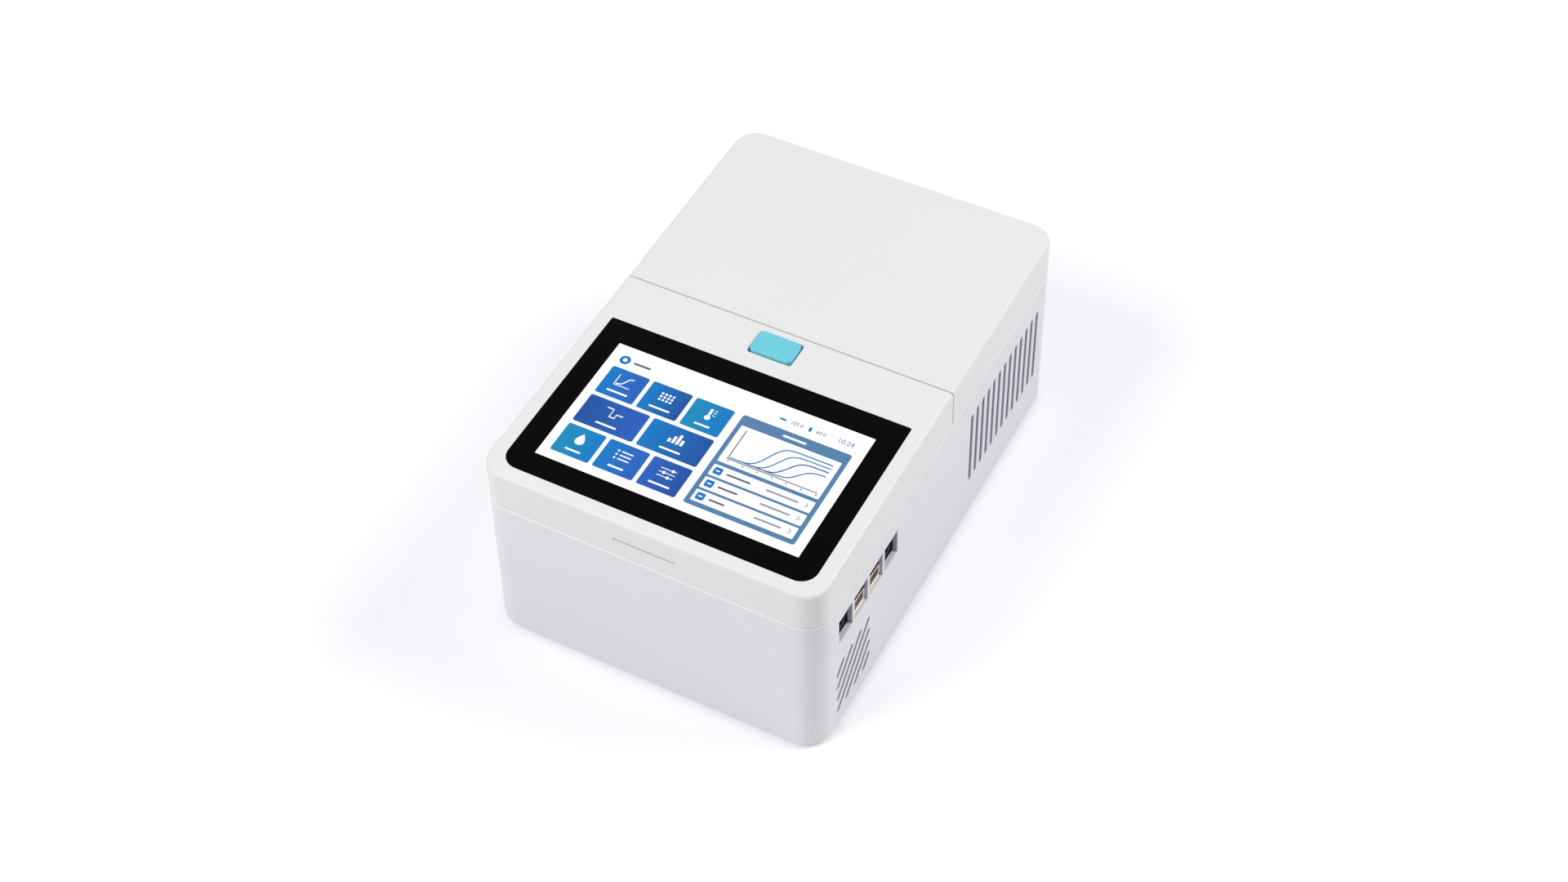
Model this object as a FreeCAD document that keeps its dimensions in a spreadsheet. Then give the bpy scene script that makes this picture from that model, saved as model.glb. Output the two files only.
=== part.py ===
# Bench-top real-time PCR machine: a touch screen in front, a hinged heated lid behind, a 16-well block under it.
# Frame: X to the right seen from the front, Y to the back, Z up; the origin is on the bench, under the middle.
# Every length is in millimetres and every angle in degrees.
import FreeCAD, Part
import math
import os
import Sketcher
from FreeCAD import Placement, Rotation, Vector
from types import SimpleNamespace

doc = FreeCAD.newDocument("PcrMachine")
sheet = doc.addObject("Spreadsheet::Sheet", "Sizes")

# The driving dimensions. Each has its own cell, and every object below is bound to the cells.
driving = {
    # housing as a whole
    "bodyWidth": 203.0,
    "bodyDepth": 302.6,
    "seamHeight": 100.4,
    "coverHeight": 25.1,
    "draftAngle": 0.92,
    "cornerRadius": 16.5,
    "wall": 3.0,
    "topRound": 2.6,
    "bottomRound": 1.5,
    "seamBevel": 0.9,
    "benchClearance": 3.0,
    # split between the front cover and the lid
    "lidDepth": 141.9,
    "lidGap": 0.8,
    "lidLift": 0.3,
    # bottom plate, feet and the pillars that tie the tub together
    "plateInset": 0.4,
    "plateThickness": 2.0,
    "fitGap": 0.3,
    "footDiameter": 16.0,
    "footInset": 30.0,
    "pillarDiameter": 9.0,
    "pillarInset": 14.0,
    "midPillarBack": 131.3,
    "ribThickness": 2.4,
    "screwDiameter": 3.0,
    "screwHead": 5.6,
    "screwHeadHeight": 1.8,
    "screwLength": 8.0,
    "screwGap": 0.1,
    "headSink": 1.4,
    # touch screen
    "glassSide": 11.2,
    "glassFront": 10.8,
    "glassBack": 32.6,
    "glassThickness": 1.8,
    "glassRound": 9.5,
    "glassSharpRound": 1.2,
    "glassGap": 0.2,
    "displaySide": 8.3,
    "displayFront": 8.2,
    "displayBack": 9.5,
    "displayThickness": 3.6,
    "bracketThickness": 1.0,
    # latch button and its slot
    "buttonWidth": 25.3,
    "buttonDepth": 15.8,
    "buttonBack": 13.3,
    "buttonProud": 2.0,
    "buttonGap": 0.6,
    "buttonRound": 3.0,
    "buttonFlange": 1.5,
    "buttonTravel": 2.5,
    "guideWall": 1.4,
    # status light in the front
    "lightWidth": 36.0,
    "lightHeight": 0.9,
    "lightLevel": 112.3,
    # ports on the right side
    "portWidth": 15.4,
    "portHeight": 17.4,
    "portFront": 32.0,
    "portPitch": 17.8,
    "portLevel": 68.2,
    # side grille of the fans
    "grilleCount": 13,
    "grillePitch": 7.4,
    "grilleSlotWidth": 3.4,
    "grilleSlotHeight": 53.7,
    "grilleLevel": 55.05,
    "coolingBack": 70.0,
    # slanted grille under the ports
    "slantSide": 36.4,
    "slantPitch": 10.0,
    "slantSlotWidth": 3.2,
    "slantSideCount": 3,
    "slantCentre": 40.5,
    "slantLevel": 31.0,
    # sample block
    "wellPitch": 9.0,
    "wellColumns": 8,
    "wellDiameter": 6.4,
    "wellMouthDepth": 5.0,
    "wellDepth": 13.5,
    "wellTipDiameter": 3.2,
    "blockWidth": 76.0,
    "blockDepth": 24.0,
    "blockHeight": 16.0,
    "blockSink": 3.0,
    # deck under the lid
    "deckDrop": 0.4,
    "deckThickness": 2.5,
    "windowMargin": 3.0,
    # thermal stack under the block
    "coolerThickness": 3.6,
    "coolerWidth": 36.0,
    "sinkWidth": 120.0,
    "sinkDepth": 100.0,
    "sinkPlate": 8.0,
    "sinkHeight": 47.0,
    "finCount": 17,
    "finPitch": 5.0,
    "finThickness": 1.5,
    "collarWidth": 6.0,
    "postDiameter": 6.0,
    "postInset": 4.0,
    # fans
    "fanSize": 50.0,
    "fanThickness": 12.0,
    "fanBore": 47.0,
    "fanRound": 3.0,
    "fanHub": 22.0,
    "fanStrut": 2.4,
    "fanBack": 2.0,
    "fanHoleInset": 5.0,
    "fanHole": 3.6,
    "fanPin": 3.0,
    "bladeCount": 7,
    "bladeThickness": 1.2,
    "bladeGap": 0.7,
    "bladeLean": 3.2,
    "ductWall": 1.2,
    # circuit boards
    "boardThickness": 1.6,
    "mainBoardWidth": 92.0,
    "mainBoardDepth": 94.0,
    "portLength": 20.0,
    "usbWidth": 14.4,
    "usbHeight": 8.8,
    "usbSkin": 0.5,
    "usbReach": 1.8,
    "jackWidth": 15.8,
    "jackHeight": 17.0,
    "plugWidth": 11.8,
    "plugHeight": 8.4,
    "plugDepth": 12.0,
    "supplyWidth": 80.0,
    "supplyDepth": 106.0,
    "supplyLevel": 12.0,
    "driverWidth": 96.0,
    "driverDepth": 70.0,
    # mains inlet and switch at the back
    "inletCentre": 34.0,
    "inletLevel": 32.0,
    "inletWidth": 27.6,
    "inletHeight": 20.0,
    "inletFlangeWidth": 50.0,
    "inletFlangeHeight": 23.0,
    "inletBody": 24.0,
    "inletShell": 2.0,
    "inletFlange": 1.6,
    "switchOffset": 44.0,
    "switchWidth": 19.0,
    "switchHeight": 13.0,
    "switchBezel": 1.5,
    "rockerWidth": 15.0,
    "rockerHeight": 10.4,
    "rockerPivot": 2.5,
    "rockerPin": 2.0,
    # lid hinges
    "hingeCentre": 55.0,
    "hingeWidth": 40.0,
    "hingeLeaf": 1.6,
    "hingeLeafHeight": 18.0,
    "hingeSeat": 0.9,
    "knuckleRadius": 3.0,
    "knuckleWidth": 13.4,
    "hingePin": 3.0,
    "runningGap": 0.05,
    # latch
    "hookPivot": 3.6,
    "hookPivotDrop": 20.5,
    "hookWidth": 7.6,
    "hookThickness": 3.2,
    "hookHub": 3.2,
    "hookHeight": 10.2,
    "hookArm": 13.0,
    "hookReach": 0.3,
    "latchWindow": 11.0,
    "strikePlate": 1.5,
    "strikeWidth": 18.0,
    "springDiameter": 5.0,
    "springWire": 0.6,
    "springSpread": 9.0,
    # lid
    "linerDrop": 1.0,
    "linerThickness": 3.0,
    "gasketWidth": 3.0,
    "gasketMargin": 12.0,
    "plateWidth": 80.0,
    "plateDepth": 28.0,
    "plateLevel": 5.0,
    "plateFlange": 4.0,
    "plateFlangeWidth": 106.0,
    "plateFlangeDepth": 38.0,
    "sightHole": 3.6,
    "padThickness": 0.8,
    "floatPinSpread": 49.0,
    "floatPinRow": 10.0,
    "floatPin": 3.0,
    # optics that scan over the wells from inside the lid
    "rodDiameter": 4.0,
    "rodSpread": 24.0,
    "rodDrop": 8.5,
    "railBlock": 6.0,
    "railCentre": 58.0,
    "carriageWidth": 26.0,
    "carriageHeight": 9.6,
    "carriageDepth": 64.0,
    "lensDiameter": 8.0,
    "screwOffset": 30.0,
    "screwDrop": 12.0,
    "leadDiameter": 5.0,
    "motorSize": 16.0,
    "motorLength": 24.0,
}

for row, (name, value) in enumerate(driving.items(), start=1):
    sheet.set(f"A{row}", name)
    sheet.set(f"B{row}", str(value))
    sheet.setAlias(f"B{row}", name)
doc.recompute()


# A number together with the sheet formula it comes from, so that geometry can be placed and bound in one go.
class Size:
    def __init__(self, value, formula):
        self.value = float(value)
        self.formula = formula

    def joined(self, other, sign, value):
        return Size(value, f"({self.formula} {sign} {other.formula})")

    def __add__(self, other):
        other = as_size(other)
        return self.joined(other, "+", self.value + other.value)

    def __sub__(self, other):
        other = as_size(other)
        return self.joined(other, "-", self.value - other.value)

    def __mul__(self, other):
        other = as_size(other)
        return self.joined(other, "*", self.value * other.value)

    def __truediv__(self, other):
        other = as_size(other)
        return self.joined(other, "/", self.value / other.value)

    def __radd__(self, other):
        return as_size(other) + self

    def __rsub__(self, other):
        return as_size(other) - self

    def __rmul__(self, other):
        return as_size(other) * self

    def __neg__(self):
        return Size(-self.value, f"(0 - {self.formula})")


def as_size(number):
    return number if isinstance(number, Size) else Size(number, f"({float(number):.6f})")


def tangent(angle):
    return Size(math.tan(math.radians(angle.value)), f"tan({angle.formula})")


def bind(thing, path, size):
    thing.setExpression(path, as_size(size).formula)


def about(centre, width):
    return centre - width / 2, centre + width / 2


s = SimpleNamespace(**{name: Size(value, f"Sizes.{name}") for name, value in driving.items()})


# PartDesign helpers: each adds one feature to a body and returns it.
def new_body(label):
    body = doc.addObject("PartDesign::Body", label)
    body.Label = label
    return body


def origin_part(body, role):
    return next(f for f in body.Origin.OriginFeatures if f.Role == role)


def sketch_on(body, role, height=0.0, across=None):
    sketch = body.newObject("Sketcher::SketchObject", f"{body.Name}Sketch")
    sketch.AttachmentSupport = (origin_part(body, role), [""])
    sketch.MapMode = "FlatFace"
    bind(sketch, "AttachmentOffset.Base.z", height)
    if across is not None:
        bind(sketch, "AttachmentOffset.Base.x", across)
    return sketch


def dimension(sketch, kind, geometry, point, size):
    size = as_size(size)
    if kind == "Radius":
        index = sketch.addConstraint(Sketcher.Constraint(kind, geometry, size.value))
    else:
        index = sketch.addConstraint(Sketcher.Constraint(kind, -1, 1, geometry, point, size.value))
    name = f"size{index}"
    sketch.renameConstraint(index, name)
    bind(sketch, f"Constraints.{name}", size)


def place_point(sketch, geometry, point, across, along):
    dimension(sketch, "DistanceX", geometry, point, across)
    dimension(sketch, "DistanceY", geometry, point, along)


def polygon(sketch, corners):
    corners = [(as_size(u), as_size(v)) for u, v in corners]
    first = sketch.GeometryCount
    count = len(corners)
    for k in range(count):
        start, end = corners[k], corners[(k + 1) % count]
        sketch.addGeometry(Part.LineSegment(
            Vector(start[0].value, start[1].value, 0), Vector(end[0].value, end[1].value, 0)))
    for k in range(count):
        sketch.addConstraint(Sketcher.Constraint("Coincident", first + k, 2, first + (k + 1) % count, 1))
    for k, (u, v) in enumerate(corners):
        place_point(sketch, first + k, 1, u, v)


def rectangle(sketch, across, along):
    polygon(sketch, [(across[0], along[0]), (across[1], along[0]), (across[1], along[1]), (across[0], along[1])])


def circle(sketch, across, along, radius):
    across, along, radius = as_size(across), as_size(along), as_size(radius)
    index = sketch.addGeometry(Part.Circle(Vector(across.value, along.value, 0), Vector(0, 0, 1), radius.value))
    place_point(sketch, index, 3, across, along)
    dimension(sketch, "Radius", index, 0, radius)


# A round-ended slot between two centres: two half circles and the two lines that touch them.
def slot(sketch, start, end, radius):
    start, end = [tuple(as_size(v) for v in point) for point in (start, end)]
    radius = as_size(radius)
    du, dv = end[0].value - start[0].value, end[1].value - start[1].value
    turn = math.atan2(dv, du)
    side = Vector(-math.sin(turn), math.cos(turn), 0) * radius.value
    first = sketch.GeometryCount
    centres = [Vector(p[0].value, p[1].value, 0) for p in (start, end)]
    quarter = math.pi / 2
    for centre, begin in ((centres[0], turn + quarter), (centres[1], turn - quarter)):
        ring = Part.Circle(centre, Vector(0, 0, 1), radius.value)
        sketch.addGeometry(Part.ArcOfCircle(ring, begin, begin + 2 * quarter))
    sketch.addGeometry(Part.LineSegment(centres[0] - side, centres[1] - side))
    sketch.addGeometry(Part.LineSegment(centres[1] + side, centres[0] + side))
    for one, one_end, other, other_end in ((0, 2, 2, 1), (2, 2, 1, 1), (1, 2, 3, 1), (3, 2, 0, 1)):
        sketch.addConstraint(Sketcher.Constraint("Tangent", first + one, one_end, first + other, other_end))
    place_point(sketch, first, 3, *start)
    place_point(sketch, first + 1, 3, *end)
    dimension(sketch, "Radius", first, 0, radius)


def pad(body, sketch, length, taper=None, back=False):
    doc.recompute()
    volume = body.Shape.Volume if body.Tip else 0.0
    feature = body.newObject("PartDesign::Pad", f"{body.Name}Pad")
    feature.Profile = sketch
    bind(feature, "Length", length)
    feature.Reversed = back
    if taper is not None:
        bind(feature, "TaperAngle", taper)
    sketch.Visibility = False
    return settle(body, feature, volume, 1)


def pocket(body, sketch, depth=None, back=False, taper=None):
    doc.recompute()
    volume = body.Shape.Volume
    feature = body.newObject("PartDesign::Pocket", f"{body.Name}Pocket")
    feature.Profile = sketch
    if depth is None:
        feature.Type = "ThroughAll"
    else:
        bind(feature, "Length", depth)
    feature.Reversed = back
    if taper is not None:
        bind(feature, "TaperAngle", taper)
    return settle(body, feature, volume, -1)


# Recomputes, and stops the build where a feature fails or does nothing.
def settle(body, feature, volume, sign):
    doc.recompute()
    change = (feature.Shape.Volume - volume) * sign
    if "Invalid" in feature.State or change <= 0:
        raise RuntimeError(f"{body.Label}: {feature.Name} is {feature.State}, volume change {change:.3f}")
    return feature


# Cuts the profile turned about the sketch's own upright axis.
def groove(body, sketch):
    doc.recompute()
    volume = body.Shape.Volume
    feature = body.newObject("PartDesign::Groove", f"{body.Name}Groove")
    feature.Profile = sketch
    feature.ReferenceAxis = (sketch, ["V_Axis"])
    feature.Angle = 360
    return settle(body, feature, volume, -1)


def edges_where(shape, test):
    return [f"Edge{k}" for k, edge in enumerate(shape.Edges, start=1) if test(edge)]


def faces_where(shape, test):
    return [f"Face{k}" for k, face in enumerate(shape.Faces, start=1) if test(face)]


def dress(body, kind, size, names, prop):
    base = body.Tip
    feature = body.newObject(f"PartDesign::{kind}", f"{body.Name}{kind}")
    feature.Base = (base, names)
    bind(feature, prop, size)
    doc.recompute()
    if "Invalid" in feature.State or not names:
        raise RuntimeError(f"{body.Label}: {kind} of {len(names)} is {feature.State}")
    return feature


def fillet(body, size, test):
    return dress(body, "Fillet", size, edges_where(body.Tip.Shape, test), "Radius")


def chamfer(body, size, test):
    return dress(body, "Chamfer", size, edges_where(body.Tip.Shape, test), "Size")


# Leaves a wall of the given thickness inside the solid, open at the faces named by the test.
def hollow(body, size, test):
    feature = dress(body, "Thickness", size, faces_where(body.Tip.Shape, test), "Value")
    feature.Reversed = True
    feature.Join = "Intersection"
    doc.recompute()
    return feature


def row_pattern(body, feature, axis, pitch, count):
    doc.recompute()
    pattern = body.newObject("PartDesign::LinearPattern", f"{body.Name}Row")
    pattern.Originals = [feature]
    pattern.Direction = (origin_part(body, axis), [""])
    pattern.Mode = "Spacing"
    bind(pattern, "Offset", pitch)
    bind(pattern, "Occurrences", count)
    body.Tip = pattern
    doc.recompute()
    return pattern


near = 0.01


# Tests for edges: upright ones by their place, and level ones by their height.
def upright(edge, x=None, y=None, reach=near):
    box = edge.BoundBox
    if box.ZLength < 10 * near or max(box.XLength, box.YLength) > box.ZLength * 0.2:
        return False
    middle = box.Center
    return all(want is None or abs(have - want) < reach for have, want in ((middle.x, x), (middle.y, y)))


def level(edge, z):
    box = edge.BoundBox
    return box.ZLength < near and abs(box.Center.z - z) < near


# Lines and planes that several pieces share. The hinges stand out behind, so the housing sits forward of the middle.
lean = tangent(s.draftAngle)
seam_lean = lean * s.seamHeight
hinge_reach = s.knuckleRadius * 2 + s.fitGap - seam_lean - s.hingeSeat
front = -(s.bodyDepth + hinge_reach) / 2
rear = front + s.bodyDepth
bottom = s.benchClearance
seam = bottom + s.seamHeight
top = seam + s.coverHeight
lid_base = seam + s.lidLift
lid_split = rear - s.lidDepth
gap_front = lid_split - s.lidGap / 2
gap_rear = lid_split + s.lidGap / 2
cooling = rear - s.coolingBack
grille_level = bottom + s.grilleLevel
plate_under = bottom + s.plateInset
plate_top = plate_under + s.plateThickness
deck_top = seam - s.deckDrop
deck_under = deck_top - s.deckThickness
side_inside = s.bodyWidth / 2 - s.wall - seam_lean
cover_inside = gap_front - s.wall
glass_under = top - s.glassThickness
glass_width = s.bodyWidth - s.glassSide * 2
glass_span = (front + s.glassFront, lid_split - s.glassBack)
display_width = glass_width - s.displaySide * 2
display_span = (glass_span[0] + s.displayFront, glass_span[1] - s.displayBack)
pillar_across = s.bodyWidth / 2 - s.pillarInset
pillar_rows = {
    "front": front + s.pillarInset,
    "cover": rear - s.midPillarBack - s.pillarInset * 1.7,
    "deck": rear - s.midPillarBack,
    "rear": rear - s.pillarInset,
}
hinge_seat = rear - seam_lean - s.hingeSeat
hinge_axis = (hinge_seat + s.knuckleRadius + s.fitGap, seam + s.lidLift / 2)
both_sides = (-1, 1)


def flat_at(face, level):
    return face.BoundBox.ZLength < near and abs(face.BoundBox.ZMin - level.value) < near


# The edges of the outer outline of the level face at this height.
def outline_edges(shape, level):
    face = max((f for f in shape.Faces if flat_at(f, level)), key=lambda f: f.BoundBox.DiagonalLength)
    return lambda edge: any(edge.isSame(other) for other in face.OuterWire.Edges)


# A block with drafted sides and round upright corners, as wide as the housing is at the height of its sketch.
def drafted_block(body, level, height):
    inset = lean * (level - bottom)
    half = s.bodyWidth / 2 - inset
    sketch = sketch_on(body, "XY_Plane", level)
    rectangle(sketch, (-half, half), (front + inset, rear - inset))
    pad(body, sketch, height)
    fillet(body, s.cornerRadius - inset, upright)
    base = body.Tip
    sides = faces_where(base.Shape, lambda face: face.BoundBox.ZLength > 1)
    under = faces_where(base.Shape, lambda face: flat_at(face, level))
    draft = dress(body, "Draft", s.draftAngle, sides, "Angle")
    draft.NeutralPlane = (base, under)
    doc.recompute()


# Part helpers: solids between bound corners, and the ways to join them.
def place(thing, x, y, z):
    for axis, size in zip("xyz", (x, y, z)):
        bind(thing, f"Placement.Base.{axis}", size)


def block(label, x, y, z):
    box = doc.addObject("Part::Box", label)
    box.Label = label
    place(box, x[0], y[0], z[0])
    for name, span in (("Length", x), ("Width", y), ("Height", z)):
        bind(box, name, as_size(span[1]) - span[0])
    return box


turns = {
    "x": Rotation(Vector(0, 1, 0), 90),
    "y": Rotation(Vector(1, 0, 0), -90),
    "z": Rotation(),
}


# A round bar along one axis; the span is along that axis, and the centre holds the other two coordinates in order.
def bar(label, axis, centre, radius, span):
    cylinder = doc.addObject("Part::Cylinder", label)
    cylinder.Label = label
    cylinder.Placement = Placement(Vector(), turns[axis])
    coordinates = list(centre)
    coordinates.insert("xyz".index(axis), span[0])
    place(cylinder, *coordinates)
    bind(cylinder, "Radius", radius)
    bind(cylinder, "Height", as_size(span[1]) - span[0])
    return cylinder


def fused(label, pieces):
    fusion = doc.addObject("Part::MultiFuse", label)
    fusion.Label = label
    fusion.Shapes = pieces
    return fusion


def cut(label, base, tools):
    if len(tools) > 1:
        tool = fused(f"{label}_cuts", tools)
    else:
        tool = tools[0]
    result = doc.addObject("Part::Cut", label)
    result.Label = label
    result.Base = base
    result.Tool = tool
    return result


# Separate solids kept together as one piece of the list.
def group(label, pieces):
    compound = doc.addObject("Part::Compound", label)
    compound.Label = label
    compound.Links = pieces
    return compound


# A pan-head screw along Z: the head's seat is at the given height, and the shank points up or down from it.
def screw(label, x, y, seat, shank, up=True):
    if up:
        spans = ((seat - s.screwHeadHeight, seat), (seat, seat + shank))
    else:
        spans = ((seat, seat + s.screwHeadHeight), (seat - shank, seat))
    head = bar(f"{label}_head", "z", (x, y), s.screwHead / 2, spans[0])
    stem = bar(f"{label}_stem", "z", (x, y), s.screwDiameter / 2, spans[1])
    return fused(label, [head, stem])


nodes = []


def node(thing):
    nodes.append(thing)
    return thing


screw_hole = s.screwDiameter / 2 + s.screwGap
head_hole = s.screwHead / 2 + s.fitGap


# The tub: drafted walls on an open bottom, with the grilles, the port windows and the cut-outs at the back.
def make_base_housing():
    body = new_body("base_housing")
    drafted_block(body, bottom, s.seamHeight)
    hollow(body, s.wall, lambda face: flat_at(face, bottom) or flat_at(face, seam))
    chamfer(body, s.seamBevel, outline_edges(body.Tip.Shape, seam))
    fillet(body, s.bottomRound, outline_edges(body.Tip.Shape, bottom))
    # pillars, and the ribs that tie them to the walls
    for rows, height in ((("front", "cover"), seam), (("deck", "rear"), deck_under)):
        sketch = sketch_on(body, "XY_Plane", plate_top)
        for row in rows:
            for side in both_sides:
                circle(sketch, pillar_across * side, pillar_rows[row], s.pillarDiameter / 2)
        pad(body, sketch, height - plate_top)
    wall_middle = s.bodyWidth / 2 - seam_lean - s.wall / 4
    for row, y in pillar_rows.items():
        sketch = sketch_on(body, "XY_Plane", plate_top)
        for side in both_sides:
            across = sorted((pillar_across * side, wall_middle * side), key=lambda size: size.value)
            rectangle(sketch, across, about(y, s.ribThickness))
        pad(body, sketch, (seam if row in ("front", "cover") else deck_under) - plate_top)
    for y, end in ((pillar_rows["front"], front + seam_lean + s.wall / 4),
                   (pillar_rows["rear"], rear - seam_lean - s.wall / 4)):
        sketch = sketch_on(body, "XY_Plane", plate_top)
        for side in both_sides:
            rectangle(sketch, about(pillar_across * side, s.ribThickness),
                      sorted((y, end), key=lambda size: size.value))
        pad(body, sketch, deck_under - plate_top)
    # screw holes up the pillars: deep ones for the cover's screws, short ones for the plate and the deck
    sketch = sketch_on(body, "XY_Plane", plate_top)
    for row in ("front", "cover"):
        for side in both_sides:
            circle(sketch, pillar_across * side, pillar_rows[row], head_hole)
    pocket(body, sketch, seam - s.screwLength - plate_top, back=True)
    sketch = sketch_on(body, "XY_Plane", seam)
    for row in ("front", "cover"):
        for side in both_sides:
            circle(sketch, pillar_across * side, pillar_rows[row], screw_hole)
    pocket(body, sketch, s.screwLength)
    for level, depth, back in ((plate_top, s.screwLength, True), (deck_under, s.screwLength, False)):
        sketch = sketch_on(body, "XY_Plane", level)
        for row in ("deck", "rear"):
            for side in both_sides:
                circle(sketch, pillar_across * side, pillar_rows[row], screw_hole)
        pocket(body, sketch, depth, back=back)
    # upright slots for the fans, through both side walls
    outside = s.bodyWidth / 2 + 1
    sketch = sketch_on(body, "YZ_Plane", outside)
    first = cooling - s.grillePitch * (s.grilleCount - 1) / 2
    half = (s.grilleSlotHeight - s.grilleSlotWidth) / 2
    slot(sketch, (first, grille_level - half), (first, grille_level + half), s.grilleSlotWidth / 2)
    row_pattern(body, pocket(body, sketch), "Y_Axis", s.grillePitch, s.grilleCount)
    # slanted slots, clipped to a square
    wall_depth = s.wall + seam_lean + 2
    sketch = sketch_on(body, "YZ_Plane", outside)
    count = int(driving["slantSideCount"])
    y0, y1 = about(front + s.slantCentre, s.slantSide)
    z0, z1 = about(bottom + s.slantLevel, s.slantSide)
    for k in range(-count, count + 1):
        along, down = s.slantPitch * max(k, 0), s.slantPitch * max(-k, 0)
        slot(sketch, (y0 + along, z0 + down), (y1 - down, z1 - along), s.slantSlotWidth / 2)
    pocket(body, sketch, wall_depth)
    # port windows
    sketch = sketch_on(body, "YZ_Plane", outside)
    for k in range(4):
        rectangle(sketch, about(front + s.portFront + s.portPitch * k, s.portWidth),
                  (bottom + s.portLevel, bottom + s.portLevel + s.portHeight))
    pocket(body, sketch, wall_depth)
    # mains inlet and switch
    sketch = sketch_on(body, "XZ_Plane", -(rear + 1))
    level = bottom + s.inletLevel
    rectangle(sketch, about(-s.inletCentre, s.inletWidth), about(level, s.inletHeight))
    rectangle(sketch, about(s.switchOffset - s.inletCentre, s.switchWidth), about(level, s.switchHeight))
    pocket(body, sketch, wall_depth, back=True)
    # flat seats for the hinge leaves
    sketch = sketch_on(body, "XZ_Plane", -(rear + 1))
    for side in both_sides:
        rectangle(sketch, about(s.hingeCentre * side, s.hingeWidth + s.fitGap * 2),
                  (seam - s.hingeLeafHeight - s.fitGap, seam + 1))
    pocket(body, sketch, rear + 1 - hinge_seat, back=True)
    return body


node(make_base_housing())


# The plate that closes the tub from below, held by screws that go up into the pillars.
def make_bottom_plate():
    body = new_body("bottom_plate")
    gap = s.wall + s.fitGap
    sketch = sketch_on(body, "XY_Plane", plate_under)
    rectangle(sketch, (gap - s.bodyWidth / 2, s.bodyWidth / 2 - gap), (front + gap, rear - gap))
    pad(body, sketch, s.plateThickness)
    fillet(body, s.cornerRadius - gap, upright)
    sketch = sketch_on(body, "XY_Plane", plate_under)
    for row in ("deck", "rear"):
        for side in both_sides:
            circle(sketch, pillar_across * side, pillar_rows[row], screw_hole)
    pocket(body, sketch, back=True)
    return body


foot_places = [(side * (s.bodyWidth / 2 - s.footInset), y)
               for side in both_sides for y in (front + s.footInset, rear - s.footInset)]


# A round rubber foot with a bevelled edge.
def make_feet():
    feet = []
    for k, (x, y) in enumerate(foot_places):
        radius = s.footDiameter / 2
        sole = bar(f"foot_{k}", "z", (x, y), radius, (as_size(0), plate_under))
        bevel = doc.addObject("Part::Chamfer", f"foot_bevel_{k}")
        bevel.Base = sole
        doc.recompute()
        rim = next(n for n, edge in enumerate(sole.Shape.Edges, start=1) if level(edge, 0.0))
        bevel.Edges = [(rim, 0.8, 0.8)]
        feet.append(bevel)
    return group("feet", feet)


def make_bottom_screws():
    return group("bottom_screws", [
        screw(f"bottom_screw_{row}_{side + 1}", pillar_across * side, pillar_rows[row], plate_under,
              s.plateThickness + s.screwLength - 1)
        for row in ("deck", "rear") for side in both_sides])


def make_cover_screws():
    return group("cover_screws", [
        screw(f"cover_screw_{row}_{side + 1}", pillar_across * side, pillar_rows[row], seam - s.screwLength,
              s.screwLength * 2 - 1)
        for row in ("front", "cover") for side in both_sides])


button_y = lid_split - s.buttonBack
guide_drop = s.buttonTravel + s.buttonFlange + 2.0
hook_y = cover_inside - s.hookPivot
hook_z = top - s.hookPivotDrop
window_z = (hook_z + s.hookHeight - s.hookThickness - 1.6, hook_z + s.hookHeight + 2.6)


# Rounds the upright corners of a pocket or pad whose corners lie at these places.
def round_corners(body, across, along, radius, low, high):
    def test(edge):
        box = edge.BoundBox
        return (upright(edge) and box.ZMin > low.value - near and box.ZMax < high.value + near
                and any(abs(box.Center.x - x.value) < 0.05 for x in across)
                and any(abs(box.Center.y - y.value) < 0.05 for y in along))
    fillet(body, radius, test)


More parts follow.
